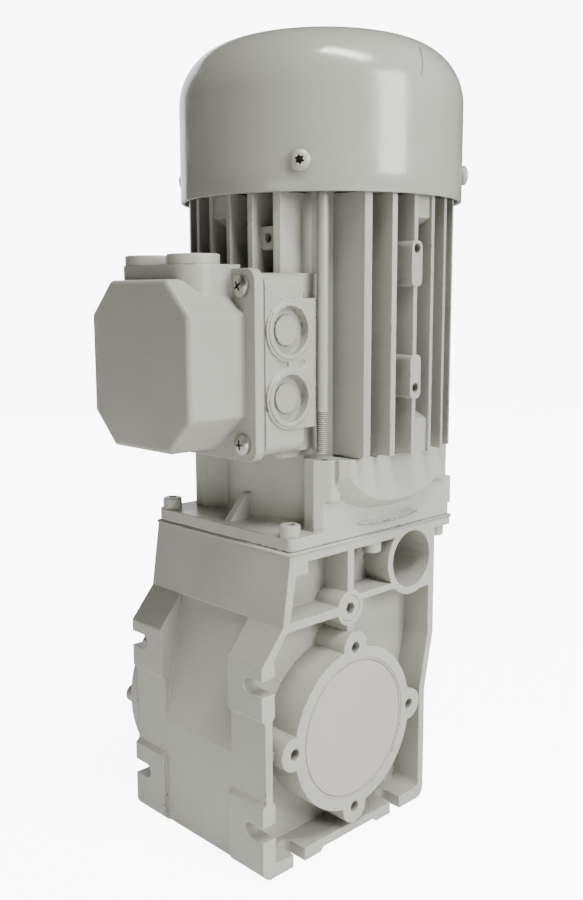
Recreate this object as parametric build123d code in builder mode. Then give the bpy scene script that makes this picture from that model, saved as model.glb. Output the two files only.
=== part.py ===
from build123d import *
import os
from math import acos, asin, atan, copysign, cos, degrees, pi, radians, sin, sqrt, tan

os.makedirs("parts", exist_ok=True)

# A foot-mounted bevel gear motor standing on its gear case, motor upright.
# Frame: the output axis runs along Y through x = 0 at the shaft height, the bottom foot
# plane is z = 0, and the motor axis is vertical.  All sizes in millimetres.

# Gear case
SHAFT_HEIGHT = 51.5  # output axis above the bottom feet, and from the side feet
CASE_DEPTH = 87.0  # along the output axis
CASE_TOP = 135.0
TOP_FLANGE_T = 5.0
FLANGE_LEFT = -35.3
FLANGE_RIGHT = 68.2
SHOULDER_X = -39.7  # foot of the upper side wall
SHOULDER_Z = 105.0
SIDE_FOOT_TOP = 91.0
RIGHT_UPPER_X = 57.0
RIGHT_LOWER_X = 51.5
RIGHT_BEND_HIGH = 80.0
RIGHT_BEND_LOW = 54.0
CASE_WALL = 3.8
CASE_CORNER_R = 5.0
POCKET_DEPTH = 14.5  # open pockets in the front face
REAR_POCKET_DEPTH = 10.5
WEB_T = 4.0
PAD_RAISE = 1.8
PAD_EXTRA = 1.4  # the side rim is this much thicker behind a foot pad
PAD_LENGTH = 21.0  # along the output axis
PAD_HIGH = (69.5, 91.0)
PAD_LOW_TOP = 31.8
PAD_BOTTOM_X = 18.0
SLOT_W = 6.6
SLOT_DEPTH = 11.0
SLOT_PITCH = 62.0
PANEL_LEDGE = 1.8  # how far the sloping side panel is let in at its top
PANEL_FOOT_Z = 49.0
HUB_R = 36.0
HUB_PROUD = 3.0
EAR_PCD_R = 36.3
EAR_R = 7.2
EAR_HOLE_DEPTH = 11.0
RIB_T = 3.8
BOLT_BOSS = (6.0, 5.0)  # radius and height of the bosses under the left pair of screws
LIFT_BORE_R = 13.0  # cored blind bore in the upper corner
LIFT_BORE_X = 40.5
LIFT_BORE_Z = 118.5
LIFT_BORE_WALL = 3.3
LIFT_BORE_DEPTH = 29.0
LIFT_WEB_DROP = 15.0  # web that runs from below the bore to the rim
OIL_BOSS_R = 7.7
OIL_Z = 104.5
OIL_PLUG_R = 5.5
OIL_THREAD_R = 4.5
BULKHEAD_Z = 94.0
BULKHEAD_T = 4.5
CHAMBER_WALL = 5.8
COVER_OPENING_R = 40.5
FLANGE_BOLT_Y = 38.5
FLANGE_BOLT_LEFT = -31.0  # this pair is fitted from above
FLANGE_BOLTS_BELOW = (18.7, 63.0)  # these pairs are fitted from below

# Gears
PRESSURE_ANGLE = 20.0
HELICAL_MODULE = 1.0
MOTOR_TEETH = 11
WHEEL_TEETH = 37
HELIX = 16.26
HELICAL_SHIFT = 0.3
HELICAL_FACE = 9.0
HELICAL_BACKLASH = 0.12
BEVEL_MODULE = 1.9
BEVEL_PINION_TEETH = 10
BEVEL_WHEEL_TEETH = 41
BEVEL_SHIFT = 0.35
BEVEL_FACE = 12.0
BEVEL_BACKLASH = 0.26
RIM_UNDER_TEETH = 0.6
WHEEL_RIM_R = 36.0
WHEEL_RIM_T = 7.0  # from the pitch circle to the back of the rim
MOTOR_OFFSET_ANGLE = 19.9  # direction from the motor axis to the countershaft axis

# Bearings: bore radius, outer radius, width
BRG_15 = (7.5, 17.5, 11.0)
BRG_12 = (6.0, 16.0, 10.0)
BRG_30 = (15.0, 31.0, 16.0)
BRG_25 = (12.5, 26.0, 15.0)
RUN_GAP = 0.08  # radial clearance between inner and outer ring parts

# Motor
MOTOR_Y = -2.5
GASKET_T = 0.4
SHIELD_PLATE_T = 5.0
SHIELD_TOP = 170.0
SHIELD_NECK_R = 43.0
SHIELD_NECK_FOOT = 3.0
SHIELD_SEAT_R = 57.4
SHIELD_SEAT_W = 14.8
SHIELD_BLOCK = (-35.5, 44.7)  # side blocks, from the motor axis along X
SHIELD_BLOCK_TOP = 153.0
SHIELD_FLARE = (41.0, 145.8, 57.4, 163.0)  # radius and height at each end of the flare
SHIELD_DISH = 7.0  # wall of the neck
COLUMN_CUT = 3.6  # corner left square on the columns for the tie rods
SHIELD_FLARE_SAG = 2.6  # how far the flare bulges beyond a straight cone
SCALLOP = (9.0, 6.6, 168.5)  # radius of the hollows below the fins, their offset and height
SHIELD_FLARE_HALF = 48.0
SPIGOT = 3.0
TIE_R = 54.5
TIE_SHANK_R = 2.3
TIE_DEPTH = 15.0
NUT_R = 4.6
NUT_H = 4.0
HOUSING_TOP = 280.0
CORE_R = 46.0
STATOR_R = 42.0
FIN_TIP_R = 59.0
FIN_T = 2.0  # at the tip
BLIND_HOLE = (9.0, 8.0)  # depth of the tapped holes in the pads, and in the lug
FIN_DRAFT = 0.055  # growth of half the thickness per mm of depth
FIN_PITCH = 10.8
FINS_PER_SIDE = 6
STATOR_BORE_R = 24.3
AIR_GAP = 0.3
STACK_BOTTOM = 190.0
STACK_LENGTH = 60.0
STATOR_SLOTS = 24
SLOT_LINER = 0.4
COIL_END_R = 2.5
SHAFT_CORE_R = 11.0
FIN_BOTTOM = 171.0
FIN_TOP = 276.0
CHANNEL_BOSS_R = 57.5
CHANNEL_BOSS_H = (21.0, 16.0)  # at the bottom and at the top
CHANNEL_BOSS_SLANT = 7.0
PAD_FACE = 59.5  # machine-tapped pads on the front fin, from the motor axis
PAD_W = 6.5
PAD_H = 17.9
PAD_CORNER_R = 2.4
PAD_HEIGHTS = (194.0, 239.6)
PAD_HOLES = (198.5, 254.5)
LUG_FACE = 52.0
LUG_Z = (254.0, 263.0)
WINDING = (26.0, 38.5, 179.0, 261.0)  # inner and outer radius, bottom and top
SLOT_INNER_R = 26.0
SLOT_OUTER_R = 35.0
SLOT_T = 3.4
COWL_R = 61.7
COWL_WALL = 1.7
COWL_RIM = 275.5
COWL_TOP = 351.0
COWL_CORNER_R = 28.0
COWL_DOME_R = 130.0
COWL_SCREW_ANGLE = -143.0
COWL_SCREW_Z = 287.0
FAN_R = 50.0
FAN_BOTTOM = 297.0
FAN_HEIGHT = 21.0
FAN_BLADES = 8
FAN_HUB_R = 11.0
FAN_HUB_H = 12.6
FAN_BACK_T = 2.0
FAN_BLADE_T = 2.0
CORE_SEAT = 8.0  # how far the shaft stays thick beyond the rotor core
END_RING_T = 6.0
FAN_SHIELD_T = 4.0
COWL_LUG = (18.0, 9.0)  # reach and width of the fan cover's screw lugs
INLET = (14.0, 40.0)  # air inlet slots in the dome, inner and outer reach
INLET_W = 3.0
INLET_SLOTS = 16

# Terminal box, measured out from the motor axis
BOX_Z = 209.4
BOX_FLANGE_W = 75.0
BOX_FLANGE_H = 73.8
BASE_W = 73.0
BASE_H = 70.5
BASE_BACK = 47.0
BASE_WING = 41.5
BASE_FRONT = 67.5
BASE_WALL = 3.5
THREAD_LEFT = 0.5  # wall left behind the blind threads in the base
BOX_GASKET_T = 1.8
LID_FLANGE_T = 4.4
LID_FRONT = 100.5
LID_W = 62.8
LID_H = 65.5
LID_BEVEL = 13.3
LID_WALL = 2.6
LID_EDGE_R = 2.2
HUMP_CORNER_R = 10.5
HUMP_FRONT = 94.0
HUMP_W = 49.0
HUMP_RISE = 5.6
GLAND_X = 83.4
GLAND_PITCH = 27.0
GLAND_HEAD_R = 10.2
GLAND_THREAD_R = 8.0
GLAND_HEAD_T = 4.0
GLAND_EDGE_R = 0.6
KNOCKOUT_X = 55.2
KNOCKOUT_R = 9.4
KNOCKOUT_DISC_R = 6.0
KNOCKOUT_SINK = 2.9
KNOCKOUT_DISC_SINK = 1.9
KNOCKOUT_PITCH = 26.4
BOX_SCREW_Y = 61.0
BOX_SCREW_Z = 60.4
SIDE_PANEL = (40.7, 0.8, 51.0)  # start, rise and height of the raised panel on each side
SIDE_PANEL_END = 56.0  # beyond this the panel only follows the knockouts
KNOCKOUT_BEAD = (1.9, 0.7)  # width and rise of the bead round each knockout
KNOCKOUT_DIMPLE = (2.4, 48.5)  # radius, and distance from the motor axis
BASE_SCREW_PITCH = 44.0
ROD_GAP = 3.2  # least metal-free space between a tie rod and the housing's box seat
CABLE_HOLE_R = 8.0
CABLE_HOLE_DROP = 23.4  # below the middle of the box
BOARD = (40.0, 24.0, 5.0)
BOARD_RISE = 6.0
BOARD_LIFT = 3.0
STUD_PITCH = 12.0
STUD_OUT = 9.0
STUD_NUT_T = 3.2
BOARD_HOLES = 34.0
EARTH_FROM_EDGE = 11.5  # earth screw, from the edge of the base
EARTH_DROP = 6.0

# Screws: shank radius, head radius, head height
M5 = (2.5, 4.25, 5.0)
M4 = (2.0, 4.0, 2.6)
M3 = (1.5, 2.8, 2.0)
FLANGE_SCREW = 14.0  # lengths under the head
COWL_SCREW = 9.0
BASE_SCREW = 10.0
COVER_SCREW = 16.0

# Output side
COVER_R = 50.0
COVER_FLANGE_T = 5.0
COVER_SPIGOT = 5.0
COVER_BOLT_R = 45.5
COVER_BOLTS = 6
JOURNAL_R = 10.0
JOURNAL_LENGTH = 40.0
KEY_W = 6.0
KEY_LENGTH = 32.0
END_THREAD = (3.0, 16.0)  # centring thread in the shaft end: radius and depth
WHEEL_SEAT_R = 16.0

COLLAR_R = 19.0
OUT_HUB_R = 21.0
WHEEL_KEY_W = 8.0
WHEEL_KEY_IN = 3.5
WHEEL_KEY_OUT = 2.8
COVER_THREAD = 12.0
COVER_FIT = 0.02  # between the cover's spigot and its opening
COVER_WALL = 5.0  # round the rear bearing
COVER_SPIGOT_WALL = 4.0
COVER_WEB = 1.5  # how far the cover's disc is let into the case
LIP_WALL = 1.6  # of the shaft seals
SEAL_OUT_R = 20.0
CAP_DISC = 2.2
OIL_PLUG_SINK = 1.2
OIL_PLUG_BELOW = 0.2  # how far the plug's head stays below the boss
OIL_PLUG_LENGTH = 10.0
OIL_SOCKET = (0.62, 6.0)  # of the thread's radius, and depth in mm
CLEARANCE = 0.25  # between a screw's shank and the plain hole it passes through

# Countershaft and motor shaft
HELICAL_SEAT_R = 7.0
HELICAL_KEY_W = 5.0
HELICAL_KEY_IN = 2.6
HELICAL_KEY_OUT = 2.0
WHEEL_HUB_R = 10.0
WHEEL_OPENING_R = 26.0
CLIP_DEPTH = 0.9
PINION_SHANK_R = 4.0
PINION_SHANK = 22.0
PINION_NECK = 1.2  # keeps the shoulder behind the pinion clear of the wheel's tips

# Worked-out places
HALF = CASE_DEPTH / 2
CENTRE = HELICAL_MODULE * (MOTOR_TEETH + WHEEL_TEETH) / (2 * cos(radians(HELIX)))
MOTOR_X = CENTRE * cos(radians(MOTOR_OFFSET_ANGLE))
COUNTER_Y = MOTOR_Y + CENTRE * sin(radians(MOTOR_OFFSET_ANGLE))
WEB_Y = -HALF + POCKET_DEPTH
CHAMBER_FRONT = WEB_Y + WEB_T
REAR_WEB_Y = HALF - REAR_POCKET_DEPTH
CHAMBER_REAR = REAR_WEB_Y - WEB_T
HUB_FACE = -HALF - HUB_PROUD
PLATE_BOTTOM = CASE_TOP + GASKET_T
PLATE_TOP = PLATE_BOTTOM + SHIELD_PLATE_T

PINION_CONE = degrees(atan(BEVEL_PINION_TEETH / BEVEL_WHEEL_TEETH))
WHEEL_CONE = 90 - PINION_CONE
CONE_OUTER = BEVEL_MODULE * BEVEL_WHEEL_TEETH / 2 / sin(radians(WHEEL_CONE))
CONE_INNER = CONE_OUTER - BEVEL_FACE
PINION_REACH = CONE_OUTER * cos(radians(PINION_CONE))  # apex to the pinion's pitch circle
WHEEL_REACH = CONE_OUTER * cos(radians(WHEEL_CONE))

COUNTER_BRG_LOW = BULKHEAD_Z + 2.0
BRG_SPACER = 2.0
COUNTER_BRG_HIGH = COUNTER_BRG_LOW + BRG_15[2] + BRG_SPACER
COUNTER_BRG_END = COUNTER_BRG_HIGH + BRG_15[2]
CLIP_T = 1.2
HELICAL_Z = COUNTER_BRG_END + CLIP_T + 1.4
MOTOR_BRG_Z = PLATE_TOP + 6.0
SEAL_T = 7.0
SHAFT_SEAL_R = BRG_15[0] + 7.5
FAN_BRG_Z = HOUSING_TOP - 1.0
LUG_TOP = HOUSING_TOP + 12.0
SEAT_W = min(BASE_W - 2 * BASE_WALL, 2 * (TIE_R * cos(radians(45)) - TIE_SHANK_R - ROD_GAP))
EARTH_AT = (BASE_W / 2 - EARTH_FROM_EDGE, -EARTH_DROP)
CAP_T = 5.5
CAP_SETBACK = 0.3
CAP_GROOVE = (29.6, 0.4, 0.5)  # groove round the cap's disc: radius, width and depth
OUT_BRG_FRONT = HUB_FACE + CAP_SETBACK + CAP_T + 0.3
OUT_BRG_FRONT_END = OUT_BRG_FRONT + BRG_30[2]
HUB_LIP = 2.5
OUT_SPACER = 4.0
WHEEL_HUB_Y = OUT_BRG_FRONT_END + OUT_SPACER
WHEEL_FACE_Y = COUNTER_Y - WHEEL_REACH - 2.0
COLLAR_T = 5.0
OUT_BRG_REAR = CHAMBER_REAR - 2.0
OUT_BRG_REAR_END = OUT_BRG_REAR + BRG_25[2]
COVER_FACE = OUT_BRG_REAR_END + 1.0 + SEAL_T
JOURNAL_START = COVER_FACE + 1.0
KEY_SINK = 3.5
KEY_MIDDLE = JOURNAL_START + JOURNAL_LENGTH / 2 + 1
SHAFT_LOW_END = PLATE_BOTTOM - 0.6


def front_plane(y):
    """Upright plane across the output axis: sketch x is world x, sketch y is height."""
    return Plane((0, y, 0), x_dir=(1, 0, 0), z_dir=(0, -1, 0))


def output_plane(y):
    """Plane across the output axis with its origin on that axis, facing +Y."""
    return Plane((0, y, SHAFT_HEIGHT), x_dir=(1, 0, 0), z_dir=(0, 1, 0))


def motor_plane(z):
    return Plane((MOTOR_X, MOTOR_Y, z))


def counter_plane(z):
    return Plane((0, COUNTER_Y, z))


def box_plane(x):
    """Plane of the terminal box at distance x from the motor axis, facing out."""
    return Plane((MOTOR_X - x, MOTOR_Y, BOX_Z), x_dir=(0, -1, 0), z_dir=(-1, 0, 0))


def save(name, part):
    part.label = name
    export_step(part, f"parts/{name}.step")


def turned(steps, plane):
    """A turned piece about the plane's normal: steps are (radius, start, end) along it."""
    with BuildPart() as piece:
        for radius, start, end in steps:
            with BuildSketch(plane.offset(start)):
                Circle(radius)
            extrude(amount=end - start)
    return piece.part


def ring(plane, outer, inner, length):
    with BuildPart() as piece:
        with BuildSketch(plane):
            Circle(outer)
            Circle(inner, mode=Mode.SUBTRACT)
        extrude(amount=length)
    return piece.part


def bearing(plane, size):
    """A sealed ball bearing as its two rings, with the seals on the outer ring."""
    bore, outer, width = size
    land = (outer - bore) * 0.3
    seal_t = 1.0
    with BuildPart() as inner_ring:
        with BuildSketch(plane):
            Circle(bore + land)
            Circle(bore, mode=Mode.SUBTRACT)
        extrude(amount=width)
    with BuildPart() as outer_ring:
        with BuildSketch(plane):
            Circle(outer)
            Circle(outer - land, mode=Mode.SUBTRACT)
        extrude(amount=width)
        for start in (0, width - seal_t):
            with BuildSketch(plane.offset(start)):
                Circle(outer - land)
                Circle(bore + land + RUN_GAP, mode=Mode.SUBTRACT)
            extrude(amount=seal_t)
        chamfer(outer_ring.edges().filter_by(GeomType.CIRCLE).sort_by(
            lambda e: -e.radius)[:2], 0.6)
    return inner_ring.part, outer_ring.part


def socket_screws(places, size, length, socket=True):
    """Cap screws as separate solids; each place is a Plane on the head seat, facing out."""
    shank, head, height = size
    screws = []
    for place in places:
        with BuildPart() as screw:
            with BuildSketch(place):
                Circle(head)
            extrude(amount=height)
            with BuildSketch(place):
                Circle(shank)
            extrude(amount=-length)
            if socket:
                with BuildSketch(place.offset(height)):
                    RegularPolygon(head * 0.55, 6)
                extrude(amount=-height * 0.5, mode=Mode.SUBTRACT)
        screws.append(screw.part.solid())
    return Compound(children=screws)


# Tooth outlines
def involute_outline(teeth, module, shift, face_angle, tip_r, root_r, thinning, points=4):
    """Half of one tooth as (radius, half angle) pairs from root to tip."""
    pitch_r = teeth * module / 2
    base_r = pitch_r * cos(radians(face_angle))
    half_pitch = (pi / 2 + 2 * shift * tan(radians(PRESSURE_ANGLE))) / teeth
    half_pitch -= thinning / 2 / pitch_r
    inv = tan(radians(face_angle)) - radians(face_angle)
    start_r = max(base_r, root_r)
    flank = []
    for i in range(points):
        r = start_r + (tip_r - start_r) * i / (points - 1)
        a = acos(min(1.0, base_r / r))
        flank.append((r, half_pitch + inv - (tan(a) - a)))
    if root_r < start_r - 0.05:
        flank.insert(0, (root_r, flank[0][1]))
    return flank


def gear_points(flank, teeth, turn):
    points = []
    for tooth in range(teeth):
        middle = 2 * pi * tooth / teeth + turn
        for r, half in flank:
            points.append((r * cos(middle - half), r * sin(middle - half)))
        for r, half in reversed(flank):
            points.append((r * cos(middle + half), r * sin(middle + half)))
    return points


def helical_gear(place, teeth, shift, hand, turn, width, spans):
    """Helical teeth as a loft through turned copies of one outline."""
    module_t = HELICAL_MODULE / cos(radians(HELIX))
    angle_t = degrees(atan(tan(radians(PRESSURE_ANGLE)) / cos(radians(HELIX))))
    pitch_r = teeth * module_t / 2
    tip_r = pitch_r + HELICAL_MODULE * (1 + shift)
    root_r = pitch_r - HELICAL_MODULE * (1.25 - shift)
    flank = involute_outline(
        teeth, module_t, shift, angle_t, tip_r, root_r, HELICAL_BACKLASH)
    lead = tan(radians(HELIX)) / pitch_r
    with BuildPart() as gear:
        for i in range(spans + 1):
            z = width * i / spans
            turned_by = turn + hand * lead * (z - width / 2)
            with BuildSketch(place.offset(z)):
                with BuildLine():
                    Polyline(gear_points(flank, teeth, turned_by), close=True)
                make_face()
        loft(ruled=True)
    return gear.part


def bevel_gear(apex, teeth, cone, shift, turn, back=()):
    """Straight bevel teeth cut into a turned blank; apex is a Plane at the cone point whose
    normal runs along the gear's axis towards its back, and back lists the blank's further
    corners as (radius, distance from the apex)."""
    delta = radians(cone)
    virtual = teeth / cos(delta)
    virtual_r = virtual * BEVEL_MODULE / 2
    rise = BEVEL_MODULE * (1 + shift)
    root = BEVEL_MODULE * (1.25 - shift)
    flank = involute_outline(virtual, BEVEL_MODULE, shift, PRESSURE_ANGLE,
                             virtual_r + rise, virtual_r - root, BEVEL_BACKLASH)
    gap = [(r, pi / virtual - half) for r, half in flank]
    gap.append((gap[-1][0] + BEVEL_MODULE, 2 * gap[-1][1] - gap[-2][1]))
    side_points = [(r * sin(half), r * cos(half) - virtual_r) for r, half in gap]
    outline = side_points + [(-x, y) for x, y in reversed(side_points)]

    def at(distance, offset):
        """Radius and distance along the axis, for a cone distance and an offset from it."""
        size = distance / CONE_OUTER
        return (distance * sin(delta) + offset * size * cos(delta),
                distance * cos(delta) - offset * size * sin(delta))

    half_pitch = turn + pi / teeth
    side = apex.x_dir * sin(half_pitch) - apex.y_dir * cos(half_pitch)
    run = apex.x_dir * cos(half_pitch) + apex.y_dir * sin(half_pitch)
    run = run * sin(delta) + apex.z_dir * cos(delta)
    with BuildPart() as space:
        for distance in (CONE_INNER * 0.9, CONE_OUTER * 1.1):
            size = distance / CONE_OUTER
            with BuildSketch(Plane(apex.origin + run * distance, x_dir=side, z_dir=run)):
                with BuildLine():
                    Polyline([(x * size, y * size) for x, y in outline], close=True)
                make_face()
        loft(ruled=True)
    axis = Axis(apex.origin, apex.z_dir)
    deep = -root - RIM_UNDER_TEETH
    inner, outer = at(CONE_INNER, deep), at(CONE_OUTER, deep)
    corners = [inner, at(CONE_INNER, rise), at(CONE_OUTER, rise), outer, *back]
    with BuildPart() as gear:
        with BuildSketch(Plane(apex.origin, x_dir=apex.x_dir, z_dir=apex.y_dir * -1)):
            with BuildLine():
                Polyline((0, inner[1]), *corners, (0, corners[-1][1]), close=True)
            make_face()
        revolve(axis=axis)
        add([space.part.rotate(axis, 360 * i / teeth) for i in range(teeth)],
            mode=Mode.SUBTRACT)
    return gear.part


# Gear case and output side
FOOT_X = -SHAFT_HEIGHT
SIDE_X = FOOT_X + PAD_RAISE
PAD_IN = CASE_WALL + PAD_EXTRA
POCKET_TOP = CASE_TOP - TOP_FLANGE_T
MIDDLE = CASE_DEPTH - 2 * PAD_LENGTH


def pocket_outline():
    """Inside of the rim, as seen from the front."""
    with BuildLine() as rim:
        Polyline(
            (FLANGE_LEFT + CASE_WALL, POCKET_TOP), (SHOULDER_X + CASE_WALL, SHOULDER_Z),
            (SIDE_X + CASE_WALL, SIDE_FOOT_TOP), (SIDE_X + CASE_WALL, PAD_RAISE + CASE_WALL),
            (RIGHT_LOWER_X - CASE_WALL, PAD_RAISE + CASE_WALL),
            (RIGHT_LOWER_X - CASE_WALL, RIGHT_BEND_LOW),
            (RIGHT_UPPER_X - CASE_WALL, RIGHT_BEND_HIGH),
            (RIGHT_UPPER_X - CASE_WALL, POCKET_TOP), close=True)
    make_face(rim.edges())


def foot_slots(pitch_centre):
    """Open-ended slots at the four corners of a foot face; sketch y is along the output axis."""
    straight = SLOT_DEPTH - SLOT_W / 2
    for end in (-1, 1):
        for side in (-1, 1):
            across = pitch_centre + side * SLOT_PITCH / 2
            with Locations((across, end * (HALF - straight / 2))):
                Rectangle(SLOT_W, straight)
            with Locations((across, end * (HALF - straight))):
                Circle(SLOT_W / 2)


def gear_case():
    with BuildPart() as case:
        # outer body: one profile in the front view
        with BuildSketch(front_plane(-HALF)) as profile:
            with BuildLine():
                Polyline(
                    (FLANGE_LEFT, CASE_TOP), (SHOULDER_X, SHOULDER_Z),
                    (FOOT_X, SIDE_FOOT_TOP), (FOOT_X, PAD_HIGH[0]),
                    (SIDE_X, PAD_HIGH[0] - PAD_RAISE), (SIDE_X, PAD_LOW_TOP + PAD_RAISE),
                    (FOOT_X, PAD_LOW_TOP), (FOOT_X, 0), (-PAD_BOTTOM_X, 0),
                    (PAD_RAISE - PAD_BOTTOM_X, PAD_RAISE), (PAD_BOTTOM_X - PAD_RAISE, PAD_RAISE),
                    (PAD_BOTTOM_X, 0), (RIGHT_LOWER_X, 0), (RIGHT_LOWER_X, RIGHT_BEND_LOW),
                    (RIGHT_UPPER_X, RIGHT_BEND_HIGH), (RIGHT_UPPER_X, POCKET_TOP),
                    (FLANGE_RIGHT, POCKET_TOP), (FLANGE_RIGHT, CASE_TOP), close=True)
            make_face()
            corners = profile.vertices().group_by(Axis.Y)[0].sort_by(Axis.X)
            fillet([corners[0], corners[-1]], CASE_CORNER_R)
            fillet(profile.vertices().group_by(Axis.X)[0].sort_by(Axis.Y)[-1], PAD_RAISE)
        extrude(amount=-CASE_DEPTH)

        # the feet stand proud only at the four corners of each foot face
        with BuildSketch(Plane.XY):
            Rectangle(2 * RIGHT_UPPER_X, MIDDLE)
        extrude(amount=PAD_RAISE, mode=Mode.SUBTRACT)
        with BuildSketch(Plane.YZ.offset(FOOT_X)):
            with Locations((0, SIDE_FOOT_TOP / 2)):
                Rectangle(MIDDLE, SIDE_FOOT_TOP)
        extrude(amount=PAD_RAISE, mode=Mode.SUBTRACT)

        # sloping panel let into the side between the two rows of feet
        with BuildSketch(front_plane(-MIDDLE / 2)):
            with BuildLine():
                Polyline((SHOULDER_X + PANEL_LEDGE, SHOULDER_Z), (SIDE_X, PANEL_FOOT_Z),
                         (FOOT_X - 5, PANEL_FOOT_Z), (FOOT_X - 5, SHOULDER_Z), close=True)
            make_face()
        extrude(amount=-MIDDLE, mode=Mode.SUBTRACT)

        # open pockets behind an even rim, front and back
        with BuildSketch(front_plane(-HALF)) as front:
            pocket_outline()
            fillet(front.vertices(), CASE_WALL)
        extrude(amount=-POCKET_DEPTH, mode=Mode.SUBTRACT)
        with BuildSketch(front_plane(HALF)) as rear:
            pocket_outline()
            fillet(rear.vertices(), CASE_WALL)
            with Locations((0, SHAFT_HEIGHT)):
                Circle(COVER_R, mode=Mode.SUBTRACT)
        extrude(amount=REAR_POCKET_DEPTH, mode=Mode.SUBTRACT)

        # thicker rim behind each foot pad
        for start, length in ((-HALF, POCKET_DEPTH), (REAR_WEB_Y, REAR_POCKET_DEPTH)):
            with BuildSketch(front_plane(start)):
                for low, high in ((PAD_RAISE, PAD_LOW_TOP), PAD_HIGH):
                    rim = SIDE_X + CASE_WALL - 1
                    slope = PAD_EXTRA + 1
                    with BuildLine():
                        Polyline((rim, low - slope), (rim + slope, low), (rim + slope, high),
                                 (rim, high + slope), close=True)
                    make_face()
            extrude(amount=-length)

        # hub round the closed end of the output shaft, with four tapped ears
        with BuildSketch(front_plane(HUB_FACE)):
            with Locations((0, SHAFT_HEIGHT)):
                Circle(HUB_R)
                with PolarLocations(EAR_PCD_R, 4):
                    Circle(EAR_R)
                with PolarLocations(EAR_PCD_R - EAR_R / 2, 4):
                    Rectangle(EAR_R, 2 * EAR_R)
        extrude(amount=HUB_FACE - CHAMBER_FRONT)

        # oil boss, cored lifting boss and the ribs that tie them to the rim
        with BuildSketch(front_plane(-HALF)):
            with Locations((0, OIL_Z)):
                Circle(OIL_BOSS_R)
            with Locations((0, (OIL_Z + POCKET_TOP) / 2)):
                Rectangle(RIB_T, POCKET_TOP - OIL_Z)
            with Locations((0, (OIL_Z + SHAFT_HEIGHT + HUB_R) / 2)):
                Rectangle(RIB_T, OIL_Z - SHAFT_HEIGHT - HUB_R)
            with Locations(((SHOULDER_X + CASE_WALL / 2) / 2, OIL_Z)):
                Rectangle(-SHOULDER_X - CASE_WALL / 2, RIB_T)
            with Locations((LIFT_BORE_X / 2, OIL_Z + RIB_T)):
                Rectangle(LIFT_BORE_X, RIB_T - 1)
        extrude(amount=-POCKET_DEPTH)
        with BuildSketch(front_plane(-HALF + RIB_T / 2)):
            with Locations(((SIDE_X - HUB_R) / 2, SHAFT_HEIGHT)):
                Rectangle(-SIDE_X - HUB_R, RIB_T)
        extrude(amount=-POCKET_DEPTH + RIB_T / 2)
        for side in (-1, 1):
            boss_r, boss_h = BOLT_BOSS
            with BuildSketch(Plane.XY.offset(POCKET_TOP - boss_h)):
                with Locations((FLANGE_LEFT + CASE_WALL + boss_r / 2, side * FLANGE_BOLT_Y)):
                    Rectangle(boss_r, 2 * boss_r)
                with Locations((FLANGE_BOLT_LEFT, side * FLANGE_BOLT_Y)):
                    Circle(boss_r)
                with Locations((FLANGE_LEFT + CASE_WALL / 2 + boss_r, 0)):
                    Rectangle(2 * boss_r, CASE_DEPTH, mode=Mode.INTERSECT)
            extrude(amount=boss_h)

        # oil chamber below the bulkhead and gear space above it
        low = PAD_RAISE + CHAMBER_WALL
        with BuildSketch(front_plane(CHAMBER_FRONT)) as chamber:
            left = SIDE_X + CHAMBER_WALL
            with BuildLine():
                Polyline(
                    (left, low), (left, PANEL_FOOT_Z + CASE_WALL),
                    (SHOULDER_X + PANEL_LEDGE + CASE_WALL, BULKHEAD_Z),
                    (RIGHT_UPPER_X - CHAMBER_WALL, BULKHEAD_Z),
                    (RIGHT_UPPER_X - CHAMBER_WALL, RIGHT_BEND_HIGH),
                    (RIGHT_LOWER_X - CHAMBER_WALL, RIGHT_BEND_LOW),
                    (RIGHT_LOWER_X - CHAMBER_WALL, low), close=True)
            make_face()
            fillet(chamber.vertices(), CASE_WALL)
        extrude(amount=CHAMBER_FRONT - CHAMBER_REAR, mode=Mode.SUBTRACT)
        gear_space = (FLANGE_LEFT + CHAMBER_WALL, RIGHT_UPPER_X - CHAMBER_WALL)
        floor = BULKHEAD_Z + BULKHEAD_T
        with BuildSketch(Plane.XY.offset(floor)) as space:
            with Locations((sum(gear_space) / 2, (CHAMBER_FRONT + CHAMBER_REAR) / 2)):
                Rectangle(gear_space[1] - gear_space[0], CHAMBER_REAR - CHAMBER_FRONT)
            fillet(space.vertices(), CASE_CORNER_R)
        extrude(amount=POCKET_TOP - floor, mode=Mode.SUBTRACT)
        with BuildSketch(Plane.XY.offset(POCKET_TOP)):
            top_opening()
        extrude(amount=TOP_FLANGE_T, mode=Mode.SUBTRACT)
        with BuildSketch(front_plane(-HALF)):
            with Locations((LIFT_BORE_X, LIFT_BORE_Z)):
                Circle(LIFT_BORE_R + LIFT_BORE_WALL)
            reach = RIGHT_UPPER_X - CASE_WALL / 2 - LIFT_BORE_X
            with Locations((LIFT_BORE_X + reach / 2, LIFT_BORE_Z - LIFT_WEB_DROP / 2)):
                Rectangle(reach, LIFT_WEB_DROP)
        extrude(amount=-LIFT_BORE_DEPTH - LIFT_BORE_WALL)
        with BuildSketch(front_plane(-HALF)):
            with Locations((LIFT_BORE_X, LIFT_BORE_Z)):
                Circle(LIFT_BORE_R)
        extrude(amount=-LIFT_BORE_DEPTH, mode=Mode.SUBTRACT)

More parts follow.
